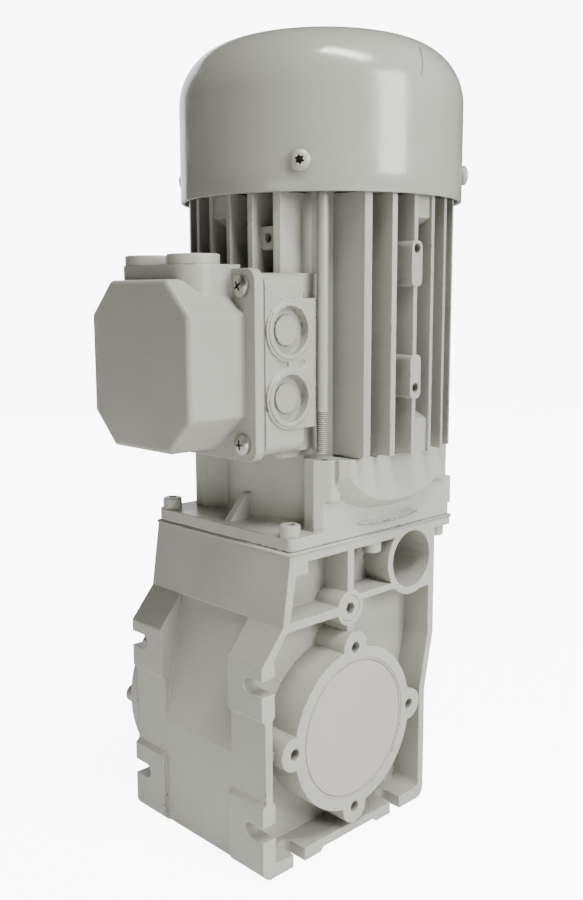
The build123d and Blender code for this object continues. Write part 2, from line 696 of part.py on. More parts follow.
        # bearing seat of the countershaft in the bulkhead
        boss_top = COUNTER_BRG_END + CLIP_T + 0.6
        with BuildSketch(counter_plane(BULKHEAD_Z)):
            Circle(BRG_15[1] + CASE_WALL)
        extrude(amount=boss_top - BULKHEAD_Z)
        with BuildSketch(counter_plane(COUNTER_BRG_LOW)):
            Circle(BRG_15[1])
        extrude(amount=boss_top - COUNTER_BRG_LOW, mode=Mode.SUBTRACT)
        with BuildSketch(counter_plane(BULKHEAD_Z)):
            Circle(BRG_15[1] - 3)
        extrude(amount=COUNTER_BRG_LOW - BULKHEAD_Z, mode=Mode.SUBTRACT)
        with BuildSketch(counter_plane(COUNTER_BRG_END)):
            Circle(BRG_15[1] + CLIP_DEPTH)
        extrude(amount=CLIP_T, mode=Mode.SUBTRACT)

        # front bearing seat, closed outside by the cap, and the rear opening
        with BuildSketch(output_plane(CHAMBER_FRONT - 1)):
            Circle(BRG_30[1] + CASE_WALL)
        extrude(amount=OUT_BRG_FRONT_END + HUB_LIP - CHAMBER_FRONT + 1)
        with BuildSketch(output_plane(HUB_FACE)):
            Circle(BRG_30[1])
        extrude(amount=OUT_BRG_FRONT_END - HUB_FACE, mode=Mode.SUBTRACT)
        with BuildSketch(output_plane(OUT_BRG_FRONT_END)):
            Circle(BRG_30[1] - 4)
        extrude(amount=HUB_LIP, mode=Mode.SUBTRACT)
        with BuildSketch(output_plane(CHAMBER_REAR)):
            Circle(COVER_OPENING_R)
        extrude(amount=REAR_POCKET_DEPTH + WEB_T, mode=Mode.SUBTRACT)

        # foot slots and tapped holes
        with BuildSketch(Plane.XY):
            foot_slots(0)
        extrude(amount=PAD_RAISE + CASE_WALL + 1, mode=Mode.SUBTRACT)
        with BuildSketch(Plane((FOOT_X, 0, 0), x_dir=(0, 0, 1), z_dir=(-1, 0, 0))):
            foot_slots(SHAFT_HEIGHT)
        extrude(amount=-(PAD_RAISE + PAD_IN + 1), mode=Mode.SUBTRACT)
        with BuildSketch(front_plane(HUB_FACE)):
            with Locations((0, SHAFT_HEIGHT)):
                with PolarLocations(EAR_PCD_R, 4):
                    Circle(M5[0])
        extrude(amount=-EAR_HOLE_DEPTH, mode=Mode.SUBTRACT)
        with BuildSketch(output_plane(HALF)):
            with PolarLocations(COVER_BOLT_R, COVER_BOLTS):
                Circle(M5[0])
        extrude(amount=-COVER_THREAD, mode=Mode.SUBTRACT)
        with BuildSketch(front_plane(-HALF)):
            with Locations((0, OIL_Z)):
                Circle(OIL_THREAD_R)
        extrude(amount=-POCKET_DEPTH - WEB_T, mode=Mode.SUBTRACT)
        with BuildSketch(front_plane(-HALF)):
            with Locations((0, OIL_Z)):
                Circle(OIL_PLUG_R + 0.2)
        extrude(amount=-OIL_PLUG_SINK, mode=Mode.SUBTRACT)
        with BuildSketch(Plane.XY.offset(CASE_TOP)):
            flange_bolts((FLANGE_BOLT_LEFT,), M5[0])
        extrude(amount=-TOP_FLANGE_T - BOLT_BOSS[1], mode=Mode.SUBTRACT)
        with BuildSketch(Plane.XY.offset(CASE_TOP)):
            flange_bolts(FLANGE_BOLTS_BELOW, M5[0] + CLEARANCE)
        extrude(amount=-TOP_FLANGE_T, mode=Mode.SUBTRACT)
    return case.part


def top_opening():
    """The way from the gear case up to the motor, which the countershaft gear goes in by."""
    left, right = -WHEEL_OPENING_R, MOTOR_X + SHAFT_SEAL_R
    with Locations(((left + right) / 2, (CHAMBER_FRONT + CHAMBER_REAR) / 2 + 1)):
        RectangleRounded(right - left, CHAMBER_REAR - CHAMBER_FRONT - 6, CASE_CORNER_R)


def flange_bolts(columns, radius):
    with Locations([(x, side * FLANGE_BOLT_Y) for x in columns for side in (-1, 1)]):
        Circle(radius)


def flange_outline():
    with Locations(((FLANGE_LEFT + FLANGE_RIGHT) / 2, 0)):
        RectangleRounded(FLANGE_RIGHT - FLANGE_LEFT, CASE_DEPTH, 2.5)


def case_gasket():
    with BuildPart() as gasket:
        with BuildSketch(Plane.XY.offset(CASE_TOP)):
            flange_outline()
            with BuildSketch(mode=Mode.SUBTRACT):
                top_opening()
            with BuildSketch(mode=Mode.SUBTRACT):
                flange_bolts((FLANGE_BOLT_LEFT, *FLANGE_BOLTS_BELOW), M5[0] + CLEARANCE)
        extrude(amount=GASKET_T)
    return gasket.part


def output_cover():
    """Rear cover: spigot, flange and bearing housing turned as one profile."""
    spigot_r = COVER_OPENING_R - COVER_FIT
    inner_r = spigot_r - COVER_SPIGOT_WALL
    housing_r = BRG_25[1] + COVER_WALL
    with BuildPart() as cover:
        with BuildSketch(Plane((0, 0, SHAFT_HEIGHT), x_dir=(1, 0, 0), z_dir=(0, 0, 1))):
            with BuildLine():
                Polyline(
                    (BRG_25[1], OUT_BRG_REAR), (housing_r, OUT_BRG_REAR),
                    (housing_r, HALF - COVER_WEB), (inner_r, HALF - COVER_WEB),
                    (inner_r, HALF - COVER_SPIGOT), (spigot_r, HALF - COVER_SPIGOT),
                    (spigot_r, HALF), (COVER_R, HALF), (COVER_R, HALF + COVER_FLANGE_T),
                    (housing_r + 1.5, HALF + COVER_FLANGE_T), (housing_r, COVER_FACE),
                    (SEAL_OUT_R, COVER_FACE), (SEAL_OUT_R, COVER_FACE - SEAL_T),
                    (SEAL_OUT_R - 2, COVER_FACE - SEAL_T), (SEAL_OUT_R - 2, OUT_BRG_REAR_END),
                    (BRG_25[1], OUT_BRG_REAR_END), close=True)
            make_face()
        revolve(axis=Axis((0, 0, SHAFT_HEIGHT), (0, 1, 0)))
        with BuildSketch(output_plane(HALF)):
            with PolarLocations(COVER_BOLT_R, COVER_BOLTS):
                Circle(M5[0] + CLEARANCE)
        extrude(amount=COVER_FLANGE_T, mode=Mode.SUBTRACT)
    return cover.part


def closing_cap():
    front = HUB_FACE + CAP_SETBACK
    groove_r, groove_w, groove_t = CAP_GROOVE
    with BuildPart() as cap:
        with BuildSketch(Plane((0, 0, SHAFT_HEIGHT), x_dir=(1, 0, 0), z_dir=(0, 0, 1))):
            with BuildLine():
                Polyline((0, front), (groove_r, front), (groove_r, front + groove_t),
                         (groove_r + groove_w, front + groove_t), (groove_r + groove_w, front),
                         (BRG_30[1], front), (BRG_30[1], front + CAP_T),
                         (BRG_30[1] - 2.5, front + CAP_T), (BRG_30[1] - 2.5, front + CAP_DISC),
                         (0, front + CAP_DISC), close=True)
            make_face()
        revolve(axis=Axis((0, 0, SHAFT_HEIGHT), (0, 1, 0)))
    return cap.part


def oil_plug():
    seat = -HALF + OIL_PLUG_SINK
    with BuildPart() as plug:
        with BuildSketch(front_plane(seat)):
            with Locations((0, OIL_Z)):
                Circle(OIL_PLUG_R)
        extrude(amount=OIL_PLUG_SINK - OIL_PLUG_BELOW)
        with BuildSketch(front_plane(seat)):
            with Locations((0, OIL_Z)):
                Circle(OIL_THREAD_R)
        extrude(amount=-OIL_PLUG_LENGTH)
        with BuildSketch(front_plane(-HALF)):
            with Locations((0, OIL_Z)):
                RegularPolygon(OIL_THREAD_R * OIL_SOCKET[0], 6)
        extrude(amount=-OIL_SOCKET[1], mode=Mode.SUBTRACT)
    return plug.part


def seal(plane, outer, shaft_r, width):
    """Lip seal: a rubber ring with an open groove on its oil side."""
    with BuildPart() as lip:
        with BuildSketch(plane):
            Circle(outer)
            Circle(shaft_r + RUN_GAP, mode=Mode.SUBTRACT)
        extrude(amount=width)
        with BuildSketch(plane):
            Circle(outer - LIP_WALL)
            Circle(shaft_r + LIP_WALL, mode=Mode.SUBTRACT)
        extrude(amount=width - 2, mode=Mode.SUBTRACT)
    return lip.part


# Countershaft
MESH = radians(180 - MOTOR_OFFSET_ANGLE)  # from the motor axis towards the countershaft


def motor_pinion():
    """Plug-in pinion: its shank is pressed into the end of the rotor shaft."""
    teeth = helical_gear(motor_plane(HELICAL_Z), MOTOR_TEETH, HELICAL_SHIFT, 1, MESH,
                         HELICAL_FACE, 3)
    with BuildPart() as pinion:
        add(teeth)
        with BuildSketch(motor_plane(HELICAL_Z + HELICAL_FACE)):
            Circle(PINION_SHANK_R)
        extrude(amount=PINION_SHANK + SHAFT_LOW_END - HELICAL_Z - HELICAL_FACE)
    return pinion.part


def helical_wheel():
    turn = MESH + pi + pi / WHEEL_TEETH
    teeth = helical_gear(counter_plane(HELICAL_Z), WHEEL_TEETH, -HELICAL_SHIFT, -1, turn,
                         HELICAL_FACE, 2)
    with BuildPart() as wheel:
        add(teeth)
        with BuildSketch(counter_plane(COUNTER_BRG_END)):
            Circle(WHEEL_HUB_R)
        extrude(amount=HELICAL_Z - COUNTER_BRG_END)
        with BuildSketch(counter_plane(COUNTER_BRG_END)):
            Circle(HELICAL_SEAT_R)
            with Locations((HELICAL_SEAT_R, 0)):
                Rectangle(2 * HELICAL_KEY_OUT, HELICAL_KEY_W)
        extrude(amount=HELICAL_Z + HELICAL_FACE - COUNTER_BRG_END, mode=Mode.SUBTRACT)
    return wheel.part


def countershaft():
    """Bevel pinion and countershaft in one piece, with the keyway of the helical gear."""
    apex = Plane((0, COUNTER_Y, SHAFT_HEIGHT), x_dir=(0, -1, 0), z_dir=(0, 0, 1))
    teeth = bevel_gear(apex, BEVEL_PINION_TEETH, PINION_CONE, BEVEL_SHIFT, 0)
    back = SHAFT_HEIGHT + PINION_REACH
    with BuildPart() as shaft:
        add(teeth)
        add(turned(((BRG_15[0], back, back + PINION_NECK),
                    (BRG_15[0] + 1.3, back + PINION_NECK, COUNTER_BRG_LOW),
                    (BRG_15[0], COUNTER_BRG_LOW, COUNTER_BRG_END),
                    (HELICAL_SEAT_R, COUNTER_BRG_END, HELICAL_Z + HELICAL_FACE + 2.4)),
                   Plane((0, COUNTER_Y, 0))))
        with BuildSketch(counter_plane(HELICAL_Z)):
            with Locations((HELICAL_SEAT_R, 0)):
                Rectangle(2 * HELICAL_KEY_IN, HELICAL_KEY_W)
        extrude(amount=HELICAL_FACE, mode=Mode.SUBTRACT)
        groove = HELICAL_Z + HELICAL_FACE
        with BuildSketch(counter_plane(groove)):
            Circle(HELICAL_SEAT_R + 1)
            Circle(HELICAL_SEAT_R - 0.5, mode=Mode.SUBTRACT)
        extrude(amount=CLIP_T, mode=Mode.SUBTRACT)
    return shaft.part


def helical_key():
    with BuildPart() as key:
        with BuildSketch(counter_plane(HELICAL_Z)):
            with Locations((HELICAL_SEAT_R + (HELICAL_KEY_OUT - HELICAL_KEY_IN) / 2, 0)):
                Rectangle(HELICAL_KEY_OUT + HELICAL_KEY_IN, HELICAL_KEY_W)
        extrude(amount=HELICAL_FACE)
    return key.part


def clip(plane, outer, inner, gap):
    """Retaining ring with its gap along the plane's x axis."""
    with BuildPart() as snap:
        with BuildSketch(plane):
            Circle(outer)
            Circle(inner, mode=Mode.SUBTRACT)
            with Locations(((outer + inner) / 2, 0)):
                Rectangle(outer - inner + 2, gap, mode=Mode.SUBTRACT)
        extrude(amount=CLIP_T)
    return snap.part


# Output shaft
def bevel_wheel():
    apex = Plane((0, COUNTER_Y, SHAFT_HEIGHT), x_dir=(0, 0, 1), z_dir=(0, -1, 0))
    rim_r = WHEEL_RIM_R
    rim_back = WHEEL_REACH + WHEEL_RIM_T
    hub_back = COUNTER_Y - WHEEL_HUB_Y
    teeth = bevel_gear(apex, BEVEL_WHEEL_TEETH, WHEEL_CONE, -BEVEL_SHIFT,
                       pi / BEVEL_WHEEL_TEETH,
                       ((rim_r, rim_back), (rim_r - 7, rim_back), (OUT_HUB_R, rim_back + 1.5),
                        (OUT_HUB_R, hub_back)))
    with BuildPart() as wheel:
        add(teeth)
        with BuildSketch(output_plane(WHEEL_FACE_Y)):
            Circle(COLLAR_R + 2)
        extrude(amount=WHEEL_REACH, mode=Mode.SUBTRACT)
        with BuildSketch(output_plane(WHEEL_HUB_Y)):
            Circle(WHEEL_SEAT_R)
            with Locations((WHEEL_SEAT_R, 0)):
                Rectangle(2 * WHEEL_KEY_OUT, WHEEL_KEY_W)
        extrude(amount=WHEEL_FACE_Y - WHEEL_HUB_Y, mode=Mode.SUBTRACT)
    return wheel.part


def output_shaft():
    with BuildPart() as shaft:
        add(turned(((BRG_30[0], OUT_BRG_FRONT, WHEEL_HUB_Y),
                    (WHEEL_SEAT_R, WHEEL_HUB_Y, WHEEL_FACE_Y),
                    (COLLAR_R, WHEEL_FACE_Y, WHEEL_FACE_Y + COLLAR_T),
                    (BRG_25[0] + 1.5, WHEEL_FACE_Y + COLLAR_T, OUT_BRG_REAR),
                    (BRG_25[0], OUT_BRG_REAR, JOURNAL_START),
                    (JOURNAL_R, JOURNAL_START, JOURNAL_START + JOURNAL_LENGTH)),
                   output_plane(0)))
        chamfer(shaft.edges().filter_by(GeomType.CIRCLE).sort_by(Axis.Y)[-1], 1.2)
        with BuildSketch(output_plane(WHEEL_HUB_Y)):
            with Locations((WHEEL_SEAT_R, 0)):
                Rectangle(2 * WHEEL_KEY_IN, WHEEL_KEY_W)
        extrude(amount=WHEEL_FACE_Y - WHEEL_HUB_Y, mode=Mode.SUBTRACT)
        with BuildSketch(Plane.XY.offset(SHAFT_HEIGHT + JOURNAL_R - KEY_SINK)):
            with Locations((0, KEY_MIDDLE)):
                SlotOverall(KEY_LENGTH, KEY_W, rotation=90)
        extrude(amount=KEY_W, mode=Mode.SUBTRACT)
        thread_r, thread_depth = END_THREAD
        with BuildSketch(output_plane(JOURNAL_START + JOURNAL_LENGTH)):
            Circle(thread_r)
        extrude(amount=-thread_depth, mode=Mode.SUBTRACT)
    return shaft.part


def wheel_key():
    with BuildPart() as key:
        with BuildSketch(output_plane(WHEEL_HUB_Y)):
            with Locations((WHEEL_SEAT_R + (WHEEL_KEY_OUT - WHEEL_KEY_IN) / 2, 0)):
                Rectangle(WHEEL_KEY_OUT + WHEEL_KEY_IN, WHEEL_KEY_W)
        extrude(amount=WHEEL_FACE_Y - WHEEL_HUB_Y)
    return key.part


def output_key():
    with BuildPart() as key:
        with BuildSketch(Plane.XY.offset(SHAFT_HEIGHT + JOURNAL_R - KEY_SINK)):
            with Locations((0, KEY_MIDDLE)):
                SlotOverall(KEY_LENGTH, KEY_W, rotation=90)
        extrude(amount=KEY_W)
    return key.part


# Motor
def drive_shield():
    """Drive-end shield: plate on the gear case, round neck and four tie-rod columns."""
    flare_r, flare_z, seat_r, seat_z = SHIELD_FLARE
    with BuildPart() as shield:
        with BuildSketch(Plane.XY.offset(PLATE_BOTTOM)):
            flange_outline()
        extrude(amount=SHIELD_PLATE_T)

        # neck with a filleted foot, turned about the motor axis
        with BuildSketch(Plane((MOTOR_X, MOTOR_Y, 0), x_dir=(1, 0, 0), z_dir=(0, -1, 0))):
            with BuildLine():
                foot = SHIELD_NECK_R + SHIELD_NECK_FOOT
                Line((0, PLATE_TOP), (foot, PLATE_TOP))
                RadiusArc((foot, PLATE_TOP), (SHIELD_NECK_R, PLATE_TOP + SHIELD_NECK_FOOT),
                          SHIELD_NECK_FOOT)
                Polyline((SHIELD_NECK_R, PLATE_TOP + SHIELD_NECK_FOOT),
                         (SHIELD_NECK_R, SHIELD_TOP), (STATOR_R, SHIELD_TOP),
                         (STATOR_R, SHIELD_TOP + SPIGOT), (0, SHIELD_TOP + SPIGOT),
                         (0, PLATE_TOP))
            make_face()
        revolve(axis=Axis((MOTOR_X, MOTOR_Y, 0), (0, 0, 1)))

        # blocks flush with the plate, front and back
        left, right = SHIELD_BLOCK
        with BuildSketch(Plane.XY.offset(PLATE_TOP)):
            with Locations((MOTOR_X + (left + right) / 2, 0)):
                Rectangle(right - left, CASE_DEPTH)
        extrude(amount=SHIELD_BLOCK_TOP - PLATE_TOP)

        # columns that the tie rods screw into, cut off flush with the plate below
        with BuildSketch(motor_plane(PLATE_TOP)):
            tie_columns()
            with Locations((0, -MOTOR_Y)):
                Rectangle(4 * SHIELD_SEAT_R, CASE_DEPTH, mode=Mode.INTERSECT)
        extrude(amount=SHIELD_BLOCK_TOP - PLATE_TOP)
        with BuildSketch(motor_plane(SHIELD_BLOCK_TOP)):
            tie_columns()
        extrude(amount=SHIELD_TOP - SHIELD_BLOCK_TOP)

        # gusset on the terminal box side
        gusset = PLATE_TOP + SHIELD_NECK_FOOT * 3.7
        with BuildSketch(front_plane(MOTOR_Y)):
            with BuildLine():
                Polyline((MOTOR_X - SHIELD_SEAT_R + 2, PLATE_TOP), (MOTOR_X - SHIELD_NECK_R, PLATE_TOP),
                         (MOTOR_X - SHIELD_NECK_R, gusset), (MOTOR_X - SHIELD_NECK_R - 2, gusset),
                         close=True)
            make_face()
        extrude(amount=-RIB_T)

    # flare that carries the motor housing over the two blocks
    with BuildPart() as flare:
        with BuildSketch(Plane((MOTOR_X, MOTOR_Y, 0), x_dir=(1, 0, 0), z_dir=(0, -1, 0))):
            with BuildLine():
                Polyline((seat_r, seat_z), (seat_r, SHIELD_TOP), (0, SHIELD_TOP), (0, flare_z),
                         (flare_r, flare_z))
                middle = ((flare_r + seat_r) / 2 + SHIELD_FLARE_SAG * sin(radians(45)),
                          (flare_z + seat_z) / 2 - SHIELD_FLARE_SAG * cos(radians(45)))
                ThreePointArc((flare_r, flare_z), middle, (seat_r, seat_z))
            make_face()
        revolve(axis=Axis((MOTOR_X, MOTOR_Y, 0), (0, 0, 1)))
        hollow_r, hollow_out, hollow_z = SCALLOP
        for column in range(1 - FINS_PER_SIDE // 2, FINS_PER_SIDE // 2):
            for front in (-1, 1):
                x = column * FIN_PITCH
                y = front * (sqrt(seat_r ** 2 - x ** 2) + hollow_out)
                with Locations((MOTOR_X + x, MOTOR_Y + y, hollow_z)):
                    Sphere(hollow_r, mode=Mode.SUBTRACT)
        with BuildSketch(motor_plane(flare_z)):
            with Locations((SHIELD_FLARE_HALF / 2 + SHIELD_BLOCK[0] / 2, 0)):
                Rectangle(SHIELD_FLARE_HALF - SHIELD_BLOCK[0], 2 * SHIELD_FLARE_HALF)
        extrude(amount=SHIELD_TOP - flare_z, mode=Mode.INTERSECT)

    with BuildPart() as whole:
        add(shield.part)
        add(flare.part)
        dish = SHIELD_NECK_R - SHIELD_DISH
        for radius, start, end in (
                (dish, MOTOR_BRG_Z + BRG_15[2] + 2, SHIELD_TOP + SPIGOT),
                (BRG_15[1], MOTOR_BRG_Z, MOTOR_BRG_Z + BRG_15[2] + 2),
                (SHAFT_SEAL_R - 2, MOTOR_BRG_Z - 1, MOTOR_BRG_Z),
                (SHAFT_SEAL_R, PLATE_BOTTOM, MOTOR_BRG_Z - 1)):
            with BuildSketch(motor_plane(start)):
                Circle(radius)
            extrude(amount=end - start, mode=Mode.SUBTRACT)
        with BuildSketch(motor_plane(SHIELD_TOP)):
            with PolarLocations(TIE_R, 4, start_angle=45):
                Circle(TIE_SHANK_R)
        extrude(amount=-TIE_DEPTH, mode=Mode.SUBTRACT)
        with BuildSketch(Plane.XY.offset(PLATE_BOTTOM)):
            flange_bolts((FLANGE_BOLT_LEFT,), M5[0] + CLEARANCE)
        extrude(amount=SHIELD_PLATE_T, mode=Mode.SUBTRACT)
        with BuildSketch(Plane.XY.offset(PLATE_BOTTOM)):
            flange_bolts(FLANGE_BOLTS_BELOW, M5[0])
        extrude(amount=FLANGE_SCREW - TOP_FLANGE_T, mode=Mode.SUBTRACT)
    return whole.part


def tie_columns():
    """Four columns with cut-back corners; drawn about the motor axis."""
    half = SHIELD_SEAT_W / 2
    cut = half - COLUMN_CUT
    root = SHIELD_NECK_R - SHIELD_DISH - 1
    for quarter in range(4):
        with BuildLine() as column:
            Polyline([Vector(x, y).rotate(Axis.Z, 45 + 90 * quarter) for x, y in (
                (root, half), (root, -half),
                (SHIELD_SEAT_R - cut, -half), (SHIELD_SEAT_R, cut - half),
                (SHIELD_SEAT_R, half - cut), (SHIELD_SEAT_R - cut, half))], close=True)
        make_face(column.edges())


def fins():
    """Fins run along X on two sides and along Y on the other two, with tips on a circle."""
    thick = FIN_T / 2 + FIN_DRAFT * FIN_TIP_R
    for turn in (0, 90):
        for i in range(FINS_PER_SIDE):
            across = (i - (FINS_PER_SIDE - 1) / 2) * FIN_PITCH
            tip = sqrt(FIN_TIP_R ** 2 - across ** 2) + FIN_T
            half = thick - FIN_DRAFT * tip
            with BuildLine() as fin:
                Polyline([Vector(x, across + y).rotate(Axis.Z, turn) for x, y in (
                    (-tip, half), (0, thick), (tip, half), (tip, -half), (0, -thick),
                    (-tip, -half))], close=True)
            make_face(fin.edges())
    Circle(FIN_TIP_R, mode=Mode.INTERSECT)
    Circle(CORE_R)


def housing():
    with BuildPart() as body:
        with BuildSketch(motor_plane(SHIELD_TOP)):
            Circle(CORE_R)
        extrude(amount=HOUSING_TOP - SHIELD_TOP)
        with BuildSketch(motor_plane(FIN_BOTTOM)):
            fins()
        extrude(amount=FIN_TOP - FIN_BOTTOM)

        # bosses in the middle channel of each side, their ends slanting back to the core
        root = CORE_R - 2
        for quarter in range(4):
            side = Plane((MOTOR_X, MOTOR_Y, 0), z_dir=(0, 0, 1)).rotated((0, 0, 90 * quarter))
            section = Plane(side.origin - side.y_dir * FIN_PITCH / 2, x_dir=side.x_dir,
                            z_dir=side.y_dir * -1)
            with BuildSketch(section):
                for start, length in ((FIN_BOTTOM, CHANNEL_BOSS_H[0]),
                                      (FIN_TOP, -CHANNEL_BOSS_H[1])):
                    slant = copysign(CHANNEL_BOSS_SLANT, length)
                    with BuildLine():
                        Polyline((root, start), (CHANNEL_BOSS_R, start),
                                 (CHANNEL_BOSS_R, start + length - slant),
                                 (root, start + length), close=True)
                    make_face()
            extrude(amount=-FIN_PITCH)

        # pads on one front fin, and a square lug between two fins beside the box
        pad_x = MOTOR_X - FIN_PITCH / 2
        with BuildSketch(front_plane(MOTOR_Y - PAD_FACE)):
            for low in PAD_HEIGHTS:
                with Locations((pad_x, low + PAD_H / 2)):
                    RectangleRounded(PAD_W, PAD_H, PAD_CORNER_R)
        extrude(amount=CORE_R - PAD_FACE - 1)
        lug_y = MOTOR_Y - 2 * FIN_PITCH
        with BuildSketch(Plane((MOTOR_X - LUG_FACE, lug_y, 0), x_dir=(0, -1, 0), z_dir=(-1, 0, 0))):
            with Locations((0, sum(LUG_Z) / 2)):
                Rectangle(FIN_PITCH, LUG_Z[1] - LUG_Z[0])
        extrude(amount=CORE_R - LUG_FACE - 8)

        # flat seat of the terminal box
        with BuildSketch(box_plane(BASE_BACK)):
            Rectangle(BASE_W, BASE_H)
        extrude(amount=FIN_TIP_R - BASE_BACK + 1, mode=Mode.SUBTRACT)
        with BuildSketch(box_plane(BASE_BACK)):
            Rectangle(SEAT_W, BASE_H)
        extrude(amount=-(BASE_BACK - STATOR_R / 2))

        with BuildSketch(motor_plane(SHIELD_TOP)):
            Circle(STATOR_R)
        extrude(amount=HOUSING_TOP - SHIELD_TOP, mode=Mode.SUBTRACT)
        with BuildSketch(box_plane(BASE_BACK)):
            with Locations((0, -CABLE_HOLE_DROP)):
                Circle(CABLE_HOLE_R)
        extrude(amount=-(BASE_BACK - STATOR_R) - 3, mode=Mode.SUBTRACT)
        with BuildSketch(box_plane(BASE_BACK)):
            with GridLocations(BASE_SCREW_PITCH, BASE_SCREW_PITCH, 2, 2):
                Circle(M4[0])
        extrude(amount=-BASE_SCREW + BASE_WALL, mode=Mode.SUBTRACT)
        with BuildSketch(front_plane(MOTOR_Y - PAD_FACE)):
            for z in PAD_HOLES:
                with Locations((pad_x, z)):
                    Circle(M4[0])
        extrude(amount=-BLIND_HOLE[0], mode=Mode.SUBTRACT)
        with BuildSketch(Plane((MOTOR_X - LUG_FACE, lug_y, 0), x_dir=(0, -1, 0), z_dir=(-1, 0, 0))):
            with Locations((0, sum(LUG_Z) / 2)):
                Circle(M4[0])
        extrude(amount=-BLIND_HOLE[1], mode=Mode.SUBTRACT)
    return body.part


def stator_core():
    with BuildPart() as core:
        with BuildSketch(motor_plane(STACK_BOTTOM)):
            Circle(STATOR_R)
            Circle(STATOR_BORE_R, mode=Mode.SUBTRACT)
            with PolarLocations((SLOT_INNER_R + SLOT_OUTER_R) / 2, STATOR_SLOTS):
                Rectangle(SLOT_OUTER_R - SLOT_INNER_R, SLOT_T, mode=Mode.SUBTRACT)
        extrude(amount=STACK_LENGTH)
    return core.part


def windings():
    """Slot bars joined by the end turns at both ends."""
    inner, outer, bottom, top = WINDING
    stack_top = STACK_BOTTOM + STACK_LENGTH
    with BuildPart() as coil:
        for start, end in ((bottom, STACK_BOTTOM), (stack_top, top)):
            with BuildSketch(motor_plane(start)):
                Circle(outer)
                Circle(inner, mode=Mode.SUBTRACT)
            extrude(amount=end - start)
        with BuildSketch(motor_plane(STACK_BOTTOM)):
            with PolarLocations((SLOT_INNER_R + SLOT_OUTER_R) / 2, STATOR_SLOTS):
                Rectangle(SLOT_OUTER_R - SLOT_INNER_R - SLOT_LINER, SLOT_T - SLOT_LINER)
        extrude(amount=STACK_LENGTH)
        edges = coil.edges().filter_by(GeomType.CIRCLE).group_by(Axis.Z)
        fillet(edges[0] + edges[-1], COIL_END_R)
    return coil.part


def fan_shield():
    """Shield at the fan end, with lugs for the tie rods and for the fan cover's screws."""
    hub_r = BRG_12[1] + 4
    hub_top = FAN_BRG_Z + BRG_12[2] + 2
    face = COWL_R - COWL_WALL - 0.3
    with BuildPart() as shield:
        with BuildSketch(Plane((MOTOR_X, MOTOR_Y, 0), x_dir=(1, 0, 0), z_dir=(0, -1, 0))):
            with BuildLine():
                Polyline((BRG_12[1], FAN_BRG_Z - 1), (hub_r, FAN_BRG_Z - 1),
                         (hub_r + 6, HOUSING_TOP), (STATOR_R - 4, HOUSING_TOP),
                         (STATOR_R - 4, HOUSING_TOP - SPIGOT), (STATOR_R, HOUSING_TOP - SPIGOT),
                         (STATOR_R, HOUSING_TOP), (CORE_R, HOUSING_TOP),
                         (CORE_R, HOUSING_TOP + FAN_SHIELD_T),
                         (hub_r + 5, HOUSING_TOP + FAN_SHIELD_T),
                         (hub_r, HOUSING_TOP + 2 * FAN_SHIELD_T), (hub_r, hub_top),
                         (BRG_12[0] + 2, hub_top),
                         (BRG_12[0] + 2, hub_top - 2), (BRG_12[1], hub_top - 2), close=True)
            make_face()
        revolve(axis=Axis((MOTOR_X, MOTOR_Y, 0), (0, 0, 1)))
        with BuildSketch(motor_plane(HOUSING_TOP)):
            with PolarLocations(TIE_R, 4, start_angle=45):
                Circle(face - TIE_R)
            with PolarLocations(TIE_R - 6, 4, start_angle=45):
                Rectangle(12, 2 * (face - TIE_R))
            with PolarLocations(face - COWL_LUG[0] / 2, 4, start_angle=COWL_SCREW_ANGLE):
                Rectangle(*COWL_LUG)
            Circle(CORE_R - 3, mode=Mode.SUBTRACT)
        extrude(amount=LUG_TOP - HOUSING_TOP)
        with BuildSketch(motor_plane(HOUSING_TOP)):
            with PolarLocations(TIE_R, 4, start_angle=45):
                Circle(TIE_SHANK_R + CLEARANCE)
        extrude(amount=LUG_TOP - HOUSING_TOP, mode=Mode.SUBTRACT)
        for place in cowl_screw_places():
            with BuildSketch(place):
                Circle(M4[0])
            extrude(amount=-COWL_SCREW, mode=Mode.SUBTRACT)
    return shield.part


def cowl_screw_places():
    places = []
    for quarter in range(4):
        angle = radians(COWL_SCREW_ANGLE + 90 * quarter)
        out = Vector(cos(angle), sin(angle), 0)
        places.append(Plane(Vector(MOTOR_X, MOTOR_Y, COWL_SCREW_Z) + out * COWL_R, z_dir=out))
    return places


def cowl_curve(inset):
    """Side, corner arc and dome of the fan cover from the rim to the axis."""
    corner_x = COWL_R - COWL_CORNER_R
    dome_z = COWL_TOP - COWL_DOME_R
    corner_z = dome_z + sqrt((COWL_DOME_R - COWL_CORNER_R) ** 2 - corner_x ** 2)
    lean = asin(corner_x / (COWL_DOME_R - COWL_CORNER_R))
    corner_r = COWL_CORNER_R - inset
    dome_r = COWL_DOME_R - inset

    def on_corner(a):
        return corner_x + corner_r * sin(a), corner_z + corner_r * cos(a)

    def on_dome(a):
        return dome_r * sin(a), dome_z + dome_r * cos(a)

    Line((COWL_R - inset, COWL_RIM), (COWL_R - inset, corner_z))
    ThreePointArc(on_corner(pi / 2), on_corner((pi / 2 + lean) / 2), on_corner(lean))
    ThreePointArc(on_dome(lean), on_dome(lean / 2), on_dome(0))


